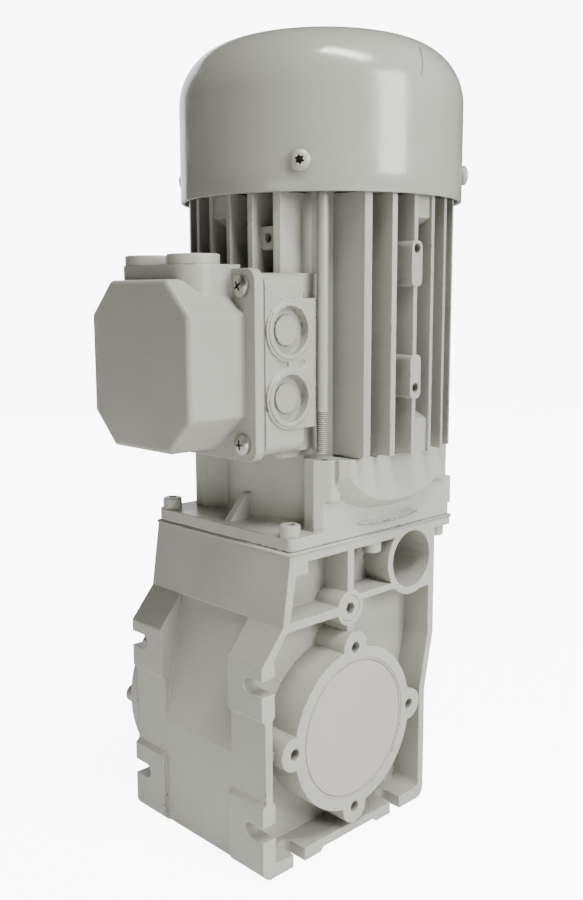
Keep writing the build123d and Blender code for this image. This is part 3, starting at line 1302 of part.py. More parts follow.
def fan_cover():
    with BuildPart() as cowl:
        with BuildSketch(Plane((MOTOR_X, MOTOR_Y, 0), x_dir=(1, 0, 0), z_dir=(0, -1, 0))):
            with BuildLine():
                cowl_curve(0)
                cowl_curve(COWL_WALL)
                Line((COWL_R, COWL_RIM), (COWL_R - COWL_WALL, COWL_RIM))
                Line((0, COWL_TOP), (0, COWL_TOP - COWL_WALL))
            make_face()
        revolve(axis=Axis((MOTOR_X, MOTOR_Y, 0), (0, 0, 1)))
        with BuildSketch(motor_plane(COWL_TOP)):
            with PolarLocations((INLET[0] + INLET[1]) / 2, INLET_SLOTS):
                SlotOverall(INLET[1] - INLET[0], INLET_W)
        extrude(amount=-COWL_CORNER_R / 2, mode=Mode.SUBTRACT)
        for place in cowl_screw_places():
            with BuildSketch(place):
                Circle(M4[0] + CLEARANCE)
            extrude(amount=-COWL_WALL * 3, mode=Mode.SUBTRACT)
    return cowl.part


def fan():
    with BuildPart() as wheel:
        with BuildSketch(motor_plane(FAN_BOTTOM)):
            Circle(FAN_R)
        extrude(amount=FAN_BACK_T)
        with BuildSketch(motor_plane(FAN_BOTTOM)):
            Circle(FAN_HUB_R)
        extrude(amount=FAN_HUB_H)
        with BuildSketch(motor_plane(FAN_BOTTOM)):
            with PolarLocations((FAN_HUB_R + FAN_R) / 2 - 1, FAN_BLADES):
                Rectangle(FAN_R - FAN_HUB_R, FAN_BLADE_T)
        extrude(amount=FAN_HEIGHT)
        with BuildSketch(motor_plane(FAN_BOTTOM)):
            Circle(BRG_12[0])
        extrude(amount=FAN_HEIGHT, mode=Mode.SUBTRACT)
    return wheel.part


def rotor_shaft():
    seat = (STACK_BOTTOM - CORE_SEAT, STACK_BOTTOM + STACK_LENGTH + CORE_SEAT)
    brg_end = MOTOR_BRG_Z + BRG_15[2]
    with BuildPart() as shaft:
        add(turned(((BRG_15[0], SHAFT_LOW_END, brg_end), (BRG_15[0] + 2, brg_end, seat[0]),
                    (SHAFT_CORE_R, seat[0], seat[1]), (BRG_12[0] + 2.5, seat[1], FAN_BRG_Z),
                    (BRG_12[0], FAN_BRG_Z, FAN_BOTTOM + FAN_HUB_H + 4)),
                   motor_plane(0)))
        with BuildSketch(motor_plane(SHAFT_LOW_END)):
            Circle(PINION_SHANK_R)
        extrude(amount=PINION_SHANK + 1, mode=Mode.SUBTRACT)
    return shaft.part


def rotor_core():
    """Laminated core with the cast rings of the cage at its ends."""
    rotor_r = STATOR_BORE_R - AIR_GAP
    stack_top = STACK_BOTTOM + STACK_LENGTH
    with BuildPart() as core:
        with BuildSketch(motor_plane(STACK_BOTTOM)):
            Circle(rotor_r)
        extrude(amount=STACK_LENGTH)
        for start, end in ((STACK_BOTTOM - END_RING_T, STACK_BOTTOM),
                           (stack_top, stack_top + END_RING_T)):
            with BuildSketch(motor_plane(start)):
                Circle(rotor_r - 1)
                Circle(rotor_r - 8, mode=Mode.SUBTRACT)
            extrude(amount=end - start)
        with BuildSketch(motor_plane(STACK_BOTTOM)):
            Circle(SHAFT_CORE_R)
        extrude(amount=STACK_LENGTH, mode=Mode.SUBTRACT)
    return core.part


def tie_rods():
    bottom = SHIELD_TOP - TIE_DEPTH
    rods = []
    for place in tie_places(bottom):
        with BuildPart() as rod:
            with BuildSketch(place):
                Circle(TIE_SHANK_R)
            extrude(amount=LUG_TOP + NUT_H + 2 - bottom)
        rods.append(rod.part.solid())
    return Compound(children=rods)


def tie_nuts():
    nuts = []
    for place in tie_places(LUG_TOP):
        with BuildPart() as nut:
            with BuildSketch(place):
                RegularPolygon(NUT_R, 6)
                Circle(TIE_SHANK_R, mode=Mode.SUBTRACT)
            extrude(amount=NUT_H)
        nuts.append(nut.part.solid())
    return Compound(children=nuts)


def tie_places(z):
    corners = [radians(45 + 90 * i) for i in range(4)]
    return [Plane((MOTOR_X + TIE_R * cos(a), MOTOR_Y + TIE_R * sin(a), z)) for a in corners]


# Terminal box
def screw_grid(radius):
    with GridLocations(BOX_SCREW_Y, BOX_SCREW_Z, 2, 2):
        Circle(radius)


def knockout_plane(side, rise):
    """Plane on a side wall of the terminal base, between its two knockouts, facing out."""
    return Plane((MOTOR_X - KNOCKOUT_X, MOTOR_Y + side * (BASE_W / 2 + rise), BOX_Z),
                 x_dir=(-side, 0, 0), z_dir=(0, side, 0))


def terminal_base():
    """Box on the motor's side, open in front, with cable knockouts in both side walls."""
    panel_start, panel_rise, panel_h = SIDE_PANEL
    boss_r = M4[1] + 1
    with BuildPart() as base:
        with BuildSketch(box_plane(BASE_BACK)):
            RectangleRounded(BASE_W, BASE_H, boss_r)
        extrude(amount=BASE_FRONT - BASE_BACK)
        with BuildSketch(box_plane(BASE_WING)):
            with GridLocations(BASE_W - BASE_WALL, 0, 2, 1):
                Rectangle(BASE_WALL, BASE_H - 4 * boss_r)
        extrude(amount=BASE_BACK - BASE_WING)
        with BuildSketch(box_plane(panel_start)):
            with GridLocations(BASE_W - BASE_WALL + panel_rise, 0, 2, 1):
                Rectangle(BASE_WALL + panel_rise, panel_h)
        extrude(amount=SIDE_PANEL_END - panel_start)
        bead_w, bead_rise = KNOCKOUT_BEAD
        for side in (-1, 1):
            wall = knockout_plane(side, 0)
            for outer, height in ((KNOCKOUT_R + bead_w + 1, panel_rise),
                                  (KNOCKOUT_R + bead_w, panel_rise + bead_rise)):
                with BuildSketch(wall):
                    with GridLocations(0, KNOCKOUT_PITCH, 1, 2):
                        Circle(outer)
                extrude(amount=height)
            beads = base.edges().filter_by(GeomType.CIRCLE).filter_by(
                lambda e: abs(e.radius - KNOCKOUT_R - bead_w) < 0.01).group_by(Axis.Y)
            fillet(beads[-1 if side > 0 else 0], bead_rise * 0.8)
        with BuildSketch(box_plane(BASE_BACK + BASE_WALL)):
            Rectangle(BASE_W - 2 * BASE_WALL, BASE_H - 2 * BASE_WALL)
            screw_grid(boss_r)
            with BuildSketch(mode=Mode.INTERSECT):
                Rectangle(BASE_W - 2 * BASE_WALL, BASE_H - 2 * BASE_WALL)
                with BuildSketch(mode=Mode.SUBTRACT):
                    screw_grid(boss_r)
        extrude(amount=BASE_FRONT - BASE_BACK, mode=Mode.SUBTRACT)

        # knockouts: a sunk ring round a disc that can be knocked out, a dimple between the two
        for side in (-1, 1):
            top = knockout_plane(side, panel_rise + bead_rise)
            with BuildSketch(top):
                with GridLocations(0, KNOCKOUT_PITCH, 1, 2):
                    Circle(KNOCKOUT_R)
                    Circle(KNOCKOUT_DISC_R, mode=Mode.SUBTRACT)
            extrude(amount=-KNOCKOUT_SINK - bead_rise, mode=Mode.SUBTRACT)
            with BuildSketch(top):
                with GridLocations(0, KNOCKOUT_PITCH, 1, 2):
                    Circle(KNOCKOUT_DISC_R)
            extrude(amount=-KNOCKOUT_DISC_SINK - bead_rise, mode=Mode.SUBTRACT)
            dimple_r, dimple_x = KNOCKOUT_DIMPLE
            middle = knockout_plane(side, panel_rise + dimple_r / 2)
            with Locations(middle.origin + Vector(KNOCKOUT_X - dimple_x, 0, 0)):
                Sphere(dimple_r, mode=Mode.SUBTRACT)
        with BuildSketch(box_plane(BASE_BACK)):
            with Locations((0, -CABLE_HOLE_DROP)):
                Circle(CABLE_HOLE_R)
            with GridLocations(BASE_SCREW_PITCH, BASE_SCREW_PITCH, 2, 2):
                Circle(M4[0] + CLEARANCE)
        extrude(amount=BASE_WALL, mode=Mode.SUBTRACT)
        with BuildSketch(box_plane(BASE_BACK + BASE_WALL)):
            with Locations(EARTH_AT):
                Circle(M4[0])
            with GridLocations(BOARD_HOLES, 0, 2, 1):
                with Locations((0, BOARD_RISE)):
                    Circle(M3[0])
        extrude(amount=-BASE_WALL + THREAD_LEFT, mode=Mode.SUBTRACT)
        with BuildSketch(box_plane(BASE_FRONT)):
            screw_grid(M4[0])
        extrude(amount=-COVER_SCREW + LID_FLANGE_T + BOX_GASKET_T, mode=Mode.SUBTRACT)
    return base.part


def terminal_gasket():
    boss_r = M4[1] + 1
    with BuildPart() as gasket:
        with BuildSketch(box_plane(BASE_FRONT)):
            RectangleRounded(BASE_W, BASE_H, boss_r)
            Rectangle(BASE_W - 2 * BASE_WALL, BASE_H - 2 * BASE_WALL, mode=Mode.SUBTRACT)
            screw_grid(boss_r)
            RectangleRounded(BASE_W, BASE_H, boss_r, mode=Mode.INTERSECT)
            with GridLocations(BOX_SCREW_Y, BOX_SCREW_Z, 2, 2):
                Circle(M4[0] + CLEARANCE, mode=Mode.SUBTRACT)
        extrude(amount=BOX_GASKET_T)
    return gasket.part


def octagon(width, height, bevel):
    x, y = width / 2, height / 2
    with BuildLine() as outline:
        Polyline((x, y - bevel), (x - bevel, y), (bevel - x, y), (-x, y - bevel),
                 (-x, bevel - y), (bevel - x, -y), (x - bevel, -y), (x, bevel - y), close=True)
    make_face(outline.edges())


def terminal_cover():
    back = BASE_FRONT + BOX_GASKET_T
    shoulder = back + LID_FLANGE_T
    gland_face = BOX_Z + LID_H / 2 + HUMP_RISE
    with BuildPart() as lid:
        with BuildSketch(box_plane(shoulder)):
            octagon(LID_W, LID_H, LID_BEVEL)
        extrude(amount=LID_FRONT - shoulder)
        fillet(lid.edges().filter_by(Axis.X), LID_EDGE_R)
        fillet(lid.faces().sort_by(Axis.X)[0].edges(), LID_EDGE_R)
        with BuildSketch(box_plane(back)):
            RectangleRounded(BOX_FLANGE_W, BOX_FLANGE_H, M4[1] + 1)
        extrude(amount=LID_FLANGE_T)

        # raised seat of the cable entries, rounded at the front
        with BuildSketch(Plane((MOTOR_X - back, MOTOR_Y, gland_face), x_dir=(-1, 0, 0))) as seat:
            with Locations(((HUMP_FRONT - back) / 2, 0)):
                Rectangle(HUMP_FRONT - back, HUMP_W)
            fillet(seat.vertices().group_by(Axis.X)[-1], HUMP_CORNER_R)
        extrude(amount=-HUMP_RISE - LID_BEVEL / 2)
        inner = 2 * LID_WALL
        with BuildSketch(box_plane(back)):
            octagon(LID_W - inner, LID_H - inner, LID_BEVEL - LID_WALL * (2 - sqrt(2)))
        extrude(amount=LID_FRONT - LID_WALL - back, mode=Mode.SUBTRACT)
        with BuildSketch(Plane.XY.offset(gland_face)):
            with Locations((MOTOR_X - GLAND_X, MOTOR_Y)):
                with GridLocations(0, GLAND_PITCH, 1, 2):
                    Circle(GLAND_THREAD_R)
        extrude(amount=-HUMP_RISE - LID_WALL - 2, mode=Mode.SUBTRACT)
        with BuildSketch(box_plane(back)):
            screw_grid(M4[0] + CLEARANCE)
        extrude(amount=LID_FLANGE_T, mode=Mode.SUBTRACT)
    return lid.part


def blanking_plugs():
    gland_face = BOX_Z + LID_H / 2 + HUMP_RISE
    plugs = []
    for side in (-1, 1):
        place = Plane((MOTOR_X - GLAND_X, MOTOR_Y + side * GLAND_PITCH / 2, gland_face))
        with BuildPart() as plug:
            with BuildSketch(place):
                Circle(GLAND_HEAD_R)
            extrude(amount=GLAND_HEAD_T)
            fillet(plug.edges().sort_by(Axis.Z)[-1], GLAND_EDGE_R)
            with BuildSketch(place):
                Circle(GLAND_THREAD_R)
            extrude(amount=-HUMP_RISE - LID_WALL)
            with BuildSketch(place.offset(-HUMP_RISE - LID_WALL)):
                Circle(GLAND_THREAD_R - 2)
            extrude(amount=HUMP_RISE, mode=Mode.SUBTRACT)
        plugs.append(plug.part.solid())
    return Compound(children=plugs)


def terminal_board():
    """Insulating block on two feet, drilled for six studs."""
    width, height, thick = BOARD
    start = BASE_BACK + BASE_WALL
    with BuildPart() as board:
        with BuildSketch(box_plane(start + BOARD_LIFT)):
            with Locations((0, BOARD_RISE)):
                Rectangle(width, height)
                with GridLocations(STUD_PITCH, STUD_PITCH, 3, 2):
                    Circle(M4[0], mode=Mode.SUBTRACT)
        extrude(amount=thick)
        with BuildSketch(box_plane(start)):
            with Locations((0, BOARD_RISE)):
                with GridLocations(BOARD_HOLES, 0, 2, 1):
                    Rectangle(width - BOARD_HOLES, height)
        extrude(amount=BOARD_LIFT)
        with BuildSketch(box_plane(start)):
            with Locations((0, BOARD_RISE)):
                with GridLocations(BOARD_HOLES, 0, 2, 1):
                    Circle(M3[0])
        extrude(amount=BOARD_LIFT + thick, mode=Mode.SUBTRACT)
    return board.part


def terminal_studs():
    """Six studs, each with its nut on the board."""
    face = BASE_BACK + BASE_WALL + BOARD_LIFT
    studs = []
    for column in (-1, 0, 1):
        for row in (-0.5, 0.5):
            with BuildPart() as stud:
                with BuildSketch(box_plane(face)):
                    with Locations((column * STUD_PITCH, BOARD_RISE + row * STUD_PITCH)):
                        Circle(M4[0])
                extrude(amount=BOARD[2] + STUD_OUT)
                with BuildSketch(box_plane(face + BOARD[2])):
                    with Locations((column * STUD_PITCH, BOARD_RISE + row * STUD_PITCH)):
                        RegularPolygon(M4[1], 6)
                extrude(amount=STUD_NUT_T)
            studs.append(stud.part.solid())
    return Compound(children=studs)


def box_places(x, points):
    return [Plane(box_plane(x).from_local_coords(Vector(u, v, 0)), x_dir=(0, -1, 0),
                  z_dir=(-1, 0, 0)) for u, v in points]


def corners(width, height):
    return [(i * width / 2, j * height / 2) for i in (-1, 1) for j in (-1, 1)]


# Every piece is written under its own name
flange_screws = socket_screws(
    [Plane((FLANGE_BOLT_LEFT, side * FLANGE_BOLT_Y, PLATE_TOP)) for side in (-1, 1)]
    + [Plane((x, side * FLANGE_BOLT_Y, POCKET_TOP), z_dir=(0, 0, -1))
       for x in FLANGE_BOLTS_BELOW for side in (-1, 1)], M5, FLANGE_SCREW)
cover_bolts = [radians(360 * i / COVER_BOLTS) for i in range(COVER_BOLTS)]
output_cover_screws = socket_screws(
    [Plane((COVER_BOLT_R * cos(a), HALF + COVER_FLANGE_T, SHAFT_HEIGHT + COVER_BOLT_R * sin(a)),
           z_dir=(0, 1, 0)) for a in cover_bolts], M5, COVER_FLANGE_T + COVER_THREAD - 1)

pieces = {
    "gear_case": gear_case(),
    "case_gasket": case_gasket(),
    "flange_screws": flange_screws,
    "output_cover": output_cover(),
    "output_cover_screws": output_cover_screws,
    "closing_cap": closing_cap(),
    "oil_plug": oil_plug(),
    "output_seal": seal(output_plane(COVER_FACE - SEAL_T), SEAL_OUT_R, BRG_25[0], SEAL_T),
    "output_shaft": output_shaft(),
    "output_key": output_key(),
    "bevel_wheel": bevel_wheel(),
    "wheel_key": wheel_key(),
    "output_spacer": ring(output_plane(OUT_BRG_FRONT_END), BRG_30[0] + 3, BRG_30[0], OUT_SPACER),
    "countershaft": countershaft(),
    "helical_wheel": helical_wheel(),
    "helical_key": helical_key(),
    "wheel_clip": clip(counter_plane(HELICAL_Z + HELICAL_FACE), HELICAL_SEAT_R + 2,
                       HELICAL_SEAT_R - 0.5, 4),
    "bearing_clip": clip(counter_plane(COUNTER_BRG_END), BRG_15[1] + CLIP_DEPTH,
                         BRG_15[1] - 2.5, 8),
    "outer_spacer": ring(counter_plane(COUNTER_BRG_LOW + BRG_15[2]), BRG_15[1],
                         BRG_15[1] - 3, BRG_SPACER),
    "inner_spacer": ring(counter_plane(COUNTER_BRG_LOW + BRG_15[2]), BRG_15[0] + 2,
                         BRG_15[0], BRG_SPACER),
    "motor_pinion": motor_pinion(),
    "rotor_shaft": rotor_shaft(),
    "rotor_core": rotor_core(),
    "fan": fan(),
    "drive_shield": drive_shield(),
    "motor_seal": seal(motor_plane(MOTOR_BRG_Z - 1).offset(-SEAL_T), SHAFT_SEAL_R, BRG_15[0],
                       SEAL_T),
    "motor_housing": housing(),
    "stator_core": stator_core(),
    "windings": windings(),
    "fan_shield": fan_shield(),
    "tie_rods": tie_rods(),
    "tie_rod_nuts": tie_nuts(),
    "fan_cover": fan_cover(),
    "fan_cover_screws": socket_screws(cowl_screw_places(), M4, COWL_SCREW, socket=False),
    "terminal_base": terminal_base(),
    "base_screws": socket_screws(
        box_places(BASE_BACK + BASE_WALL, corners(BASE_SCREW_PITCH, BASE_SCREW_PITCH)),
        M4, BASE_SCREW, socket=False),
    "terminal_gasket": terminal_gasket(),
    "terminal_cover": terminal_cover(),
    "cover_screws": socket_screws(
        box_places(BASE_FRONT + BOX_GASKET_T + LID_FLANGE_T, corners(BOX_SCREW_Y, BOX_SCREW_Z)),
        M4, COVER_SCREW, socket=False),
    "blanking_plugs": blanking_plugs(),
    "terminal_board": terminal_board(),
    "board_screws": socket_screws(
        box_places(BASE_BACK + BASE_WALL + BOARD_LIFT + BOARD[2],
                   [(side * BOARD_HOLES / 2, BOARD_RISE) for side in (-1, 1)]),
        M3, BOARD[2] + BOARD_LIFT + BASE_WALL - 2 * THREAD_LEFT, socket=False),
    "terminal_studs": terminal_studs(),
    "earth_screw": socket_screws(box_places(BASE_BACK + BASE_WALL, [EARTH_AT]), M4,
                                 BASE_WALL - THREAD_LEFT, socket=False),
}
bearings = {
    "output_bearing_front": (output_plane(OUT_BRG_FRONT), BRG_30),
    "output_bearing_rear": (output_plane(OUT_BRG_REAR), BRG_25),
    "counter_bearing_low": (counter_plane(COUNTER_BRG_LOW), BRG_15),
    "counter_bearing_high": (counter_plane(COUNTER_BRG_HIGH), BRG_15),
    "motor_bearing": (motor_plane(MOTOR_BRG_Z), BRG_15),
    "fan_bearing": (motor_plane(FAN_BRG_Z), BRG_12),
}
for name, (place, size) in bearings.items():
    inner, outer = bearing(place, size)
    pieces[name + "_inner"] = inner
    pieces[name + "_outer"] = outer
for name, piece in pieces.items():
    save(name, piece)
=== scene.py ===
from functools import partial
from math import asin, cos, pi, radians, sin, sqrt, tau

import bmesh
import bpy
from mathutils import Matrix, Vector


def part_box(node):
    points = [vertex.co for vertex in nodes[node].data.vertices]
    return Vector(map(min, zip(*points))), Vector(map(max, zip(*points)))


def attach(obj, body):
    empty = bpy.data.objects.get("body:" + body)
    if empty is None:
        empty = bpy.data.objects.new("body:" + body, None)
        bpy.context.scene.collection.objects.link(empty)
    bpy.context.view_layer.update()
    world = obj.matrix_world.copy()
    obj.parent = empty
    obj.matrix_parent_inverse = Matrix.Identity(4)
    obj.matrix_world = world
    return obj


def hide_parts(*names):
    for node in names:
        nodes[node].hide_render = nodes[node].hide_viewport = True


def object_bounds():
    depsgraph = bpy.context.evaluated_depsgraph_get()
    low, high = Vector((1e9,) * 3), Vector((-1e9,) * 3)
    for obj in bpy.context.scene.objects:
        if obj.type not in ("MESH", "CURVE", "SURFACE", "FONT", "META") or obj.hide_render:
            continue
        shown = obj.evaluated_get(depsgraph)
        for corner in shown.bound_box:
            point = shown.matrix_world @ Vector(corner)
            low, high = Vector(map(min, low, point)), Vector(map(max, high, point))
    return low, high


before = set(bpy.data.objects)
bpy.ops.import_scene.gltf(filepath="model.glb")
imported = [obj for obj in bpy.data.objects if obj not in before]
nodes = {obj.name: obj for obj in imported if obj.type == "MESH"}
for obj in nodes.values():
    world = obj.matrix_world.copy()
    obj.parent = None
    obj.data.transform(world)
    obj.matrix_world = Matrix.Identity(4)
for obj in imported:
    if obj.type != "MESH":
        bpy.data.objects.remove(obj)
cad_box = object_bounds()

MM = 0.001
SAME_POINT = 1e-6  # points closer than this, in metres, are one

# Photograph's view of the motor, in metres, in degrees and, for the lens, in millimetres
CAMERA_AT = (-0.29824, -0.31528, 0.23628)
CAMERA_TURN = -44.11
CAMERA_LIFT = 8.97
CAMERA_ROLL = -0.2
CAMERA_LENS = 39.336
SENSOR_WIDTH = 36


# Small helpers

def in_scene(name, data):
    """A new object of the scene, at the origin."""
    made = bpy.data.objects.new(name, data)
    bpy.context.scene.collection.objects.link(made)
    return made


def as_plain_mesh(holder, name):
    """Swaps an object for the plain mesh that its modifiers or its curve give."""
    seen = holder.evaluated_get(bpy.context.evaluated_depsgraph_get())
    mesh = bpy.data.meshes.new_from_object(seen)
    mesh.name = name
    bpy.data.objects.remove(holder)
    return in_scene(name, mesh)


def motor_axis():
    """A point on the motor's upright axis."""
    low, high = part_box("rotor_shaft")
    return (low + high) / 2


def srgb(colour):
    """An sRGB hex colour as the linear numbers a shader takes."""
    parts = [int(colour[i:i + 2], 16) / 255 for i in (1, 3, 5)]
    linear = [p / 12.92 if p <= 0.04045 else ((p + 0.055) / 1.055) ** 2.4 for p in parts]
    return (*linear, 1.0)


def add_node(tree, kind, inputs=None, **settings):
    """Adds a node with its settings and gives back its outputs. An input that is a socket, or
    a list of sockets, is linked, and any other is set."""
    made = tree.nodes.new(kind)
    for name, value in settings.items():
        setattr(made, name, value)
    for key, value in (inputs or {}).items():
        for source in value if isinstance(value, list) else [value]:
            if isinstance(source, bpy.types.NodeSocket):
                tree.links.new(source, made.inputs[key])
            else:
                made.inputs[key].default_value = source
    return made.outputs


def new_material(name):
    """A material without nodes, and the function that adds nodes to it."""
    material = bpy.data.materials.new(name)
    material.use_nodes = True
    material.node_tree.nodes.clear()
    return material, partial(add_node, material.node_tree)


def pattern(add, where, size_mm, detail=2.0, roughness=0.5, spread=None, gives=(0.0, 1.0)):
    """Noise with lumps about size_mm across, from coordinates in metres. With a spread, its
    values between those two numbers are drawn out to the two that it gives."""
    lumps = add("ShaderNodeTexNoise", {
        "Vector": where, "Scale": 1 / (size_mm * MM), "Detail": detail,
        "Roughness": roughness})["Fac"]
    if not spread:
        return lumps
    return add("ShaderNodeMapRange", {
        "Value": lumps, "From Min": spread[0], "From Max": spread[1],
        "To Min": gives[0], "To Max": gives[1]})["Result"]


def product(add, first, *others):
    """Values and numbers multiplied together."""
    for other in others:
        first = add("ShaderNodeMath", {0: first, 1: other}, operation="MULTIPLY")[0]
    return first


def layered(add, base, *layers):
    """A colour with others laid over it, each after the share that it covers."""
    body = srgb(base)
    for share, colour in layers:
        body = add("ShaderNodeMix", {0: share, 6: body, 7: srgb(colour)}, data_type="RGBA")[2]
    return body


# Grey enamel, with its sizes in millimetres

PEEL_SIZE, PEEL_DEPTH = 2.6, 0.03  # orange peel of a sprayed coat
DRIFT_SIZE = 55.0  # areas where the colour drifts
SHEEN_SIZE = 14.0  # areas where the gloss differs
DUST_AND_SHADE_REACH, DUST_SIZE = 14.0, 9.0  # how far out of a corner the dust and the painted shade of the corner lie, and the dust's lumps
DUST_DULLS = 0.25  # what dust adds to the roughness
WORN_AND_HIGHLIT_LUMP_SIZE = 3.5  # lumps of the pale strip along an edge, which is worn paint and a painted highlight at once
CHIP_SIZE, CHIPPED_AREA = 2.2, 45.0
CHIP_FIRMNESS = 3.0  # the higher, the firmer the outline of a chip
CHIP_COLOUR = "#3B3A35"  # the metal's dull skin at the bottom of a chip
EDGE_FROM, EDGE_FULL = 0.96, 0.8  # cosine between the rounded surface and the flat one
DUST_AND_SHADE_FROM, DUST_AND_SHADE_FULL = 0.75, 0.25  # share of the sky that a spot sees, where dust and painted shade begin and where they are full
EDGE_RAYS, CORNER_RAYS = 6, 6


def grey_enamel(name, colours, cast_mm, cast_depth_mm, edge_mm, roughness, grime_and_shade=0.5, wear_and_edge_highlight=0.8):
    """Light grey two-pack machine enamel sprayed over metal. The eye sees a satin sheen with
    orange peel in it, the metal's own grain under it, grey dust in the corners that is also
    painted shade there, paint pulled thin and pale along the sharp edges that is also a painted
    highlight on them, and here and there a dark chip in those edges. Its colours are the paint,
    what it drifts to, the dust that is also painted shade, and the thin paint that is also a
    painted highlight."""
    paint, drifted, dust_and_shade_colour, worn_and_highlight_colour = colours
    material, add = new_material(name)
    where = add("ShaderNodeTexCoord")["Object"]
    rounded = add("ShaderNodeBevel", {"Radius": edge_mm * MM}, samples=EDGE_RAYS)[0]
    flat = add("ShaderNodeNewGeometry")["Normal"]
    alike = add("ShaderNodeVectorMath", {0: rounded, 1: flat}, operation="DOT_PRODUCT")["Value"]
    edge = add("ShaderNodeMapRange", {
        "Value": alike, "From Min": EDGE_FROM, "From Max": EDGE_FULL})[0]
    # Ambient occlusion finds the corners, gaps and recesses; the dust colour laid there is also
    # painted shade.
    open_sky = add("ShaderNodeAmbientOcclusion", {"Distance": DUST_AND_SHADE_REACH * MM},
                   samples=CORNER_RAYS)["AO"]
    corner = add("ShaderNodeMapRange", {
        "Value": open_sky, "From Min": DUST_AND_SHADE_FROM, "From Max": DUST_AND_SHADE_FULL})[0]

    drift = pattern(add, where, DRIFT_SIZE, spread=(0.35, 0.65))
    dust_lumps = pattern(add, where, DUST_SIZE, 3.0, 0.6, spread=(0.25, 0.75), gives=(0.5, 1.0))
    # dust together with painted shade: darker where a spot sees little sky
    dust_and_painted_shade = product(add, corner, dust_lumps, grime_and_shade)
    # The pale strip along every sharp edge is thin worn paint and also a painted highlight on the
    # edge.
    worn_and_highlit_lumps = pattern(add, where, WORN_AND_HIGHLIT_LUMP_SIZE, 3.0, 0.6, spread=(0.4, 0.62), gives=(0.3, 1.0))
    worn_and_highlit_edge = product(add, edge, worn_and_highlit_lumps, wear_and_edge_highlight)
    chips = pattern(add, where, CHIP_SIZE, 3.0, 0.65, spread=(0.57, 0.6))
    chipped_areas = pattern(add, where, CHIPPED_AREA, spread=(0.5, 0.56))
    chipped = product(add, chips, chipped_areas, edge, wear_and_edge_highlight * CHIP_FIRMNESS)
    body = layered(add, paint, (drift, drifted), (dust_and_painted_shade, dust_and_shade_colour), (worn_and_highlit_edge, worn_and_highlight_colour),
                   (chipped, CHIP_COLOUR))

    grain = pattern(add, where, cast_mm, 4.0, 0.62)
    peel = pattern(add, where, PEEL_SIZE, 1.0)
    surface = rounded
    for height, depth_mm in ((grain, cast_depth_mm), (peel, PEEL_DEPTH)):
        surface = add("ShaderNodeBump", {"Height": height, "Distance": depth_mm * MM,
                                         "Strength": 1.0, "Normal": surface})[0]
    sheen = pattern(add, where, SHEEN_SIZE, 3.0, spread=(0.3, 0.7),
                    gives=(roughness - 0.05, roughness + 0.07))
    sheen = add("ShaderNodeMath", {0: dust_and_painted_shade, 1: DUST_DULLS, 2: sheen},
                operation="MULTIPLY_ADD")[0]
    coat = add("ShaderNodeBsdfPrincipled", {
        "Base Color": body, "Roughness": sheen, "IOR": 1.5, "Normal": surface})[0]
    add("ShaderNodeOutputMaterial", {"Surface": coat})
    return material


# Other finishes, with their sizes in millimetres

HANDLED_SIZE = 11.0  # patches that hands and oil have dulled
BRUSH_STRETCH = 0.02  # scale of a brush mark's pattern along it
SKIN_DEPTH, CLOUD_SIZE, GLOSS_SIZE = 0.03, 18.0, 6.0  # of a moulded piece
WAVE_TURN = tau / 20  # length in metres of one wave of the texture at a scale of 1
SHEET_LINE_GAP, SHEET_LINE_DEPTH = 5.655, 0.06
STRAND_SIZE, STRAND_DEPTH, STRAND_STRETCH = 0.9, 0.3, 0.25


def bare_metal(name, colour, stain, roughness, brush_mm=None, brush_along="Z", pits_mm=0.8,
               pit_depth_mm=0.01):
    """Uncoated or plated metal. Fine turning or rolling marks run along one axis of the piece,
    or small pits lie all over it, and the surface is dulled in patches by handling and oil."""
    material, add = new_material(name)
    where = add("ShaderNodeTexCoord")["Object"]
    patches = pattern(add, where, HANDLED_SIZE, 4.0, 0.6, spread=(0.35, 0.65))
    if brush_mm:
        stretch = tuple(BRUSH_STRETCH if axis == brush_along else 1 for axis in "XYZ")
        along = add("ShaderNodeMapping", {"Vector": where, "Scale": stretch})[0]
        height = pattern(add, along, brush_mm)
    else:
        height = pattern(add, where, pits_mm, 3.0, 0.6)
    marks = add("ShaderNodeBump", {
        "Height": height, "Distance": pit_depth_mm * MM, "Strength": 1.0})[0]
    dulled = add("ShaderNodeMapRange", {
        "Value": patches, "To Min": roughness - 0.05, "To Max": roughness + 0.1})[0]
    metal = add("ShaderNodeBsdfPrincipled", {
        "Base Color": layered(add, colour, (patches, stain)), "Metallic": 1.0,
        "Roughness": dulled, "Normal": marks})[0]
    add("ShaderNodeOutputMaterial", {"Surface": metal})
    return material


def moulded(name, colour, other, roughness, grain_mm=0.9):
    """A moulded plastic, rubber or fibre piece: even colour, a fine eroded skin, soft gloss."""
    material, add = new_material(name)
    where = add("ShaderNodeTexCoord")["Object"]
    body = layered(add, colour, (pattern(add, where, CLOUD_SIZE, 3.0), other))
    skin = add("ShaderNodeBump", {
        "Height": pattern(add, where, grain_mm, 3.0, 0.6), "Distance": SKIN_DEPTH * MM,
        "Strength": 1.0})[0]
    gloss = pattern(add, where, GLOSS_SIZE, spread=(0.3, 0.7),
                    gives=(roughness - 0.05, roughness + 0.05))
    plastic = add("ShaderNodeBsdfPrincipled", {
        "Base Color": body, "Roughness": gloss, "IOR": 1.5, "Normal": skin})[0]
    add("ShaderNodeOutputMaterial", {"Surface": plastic})
    return material


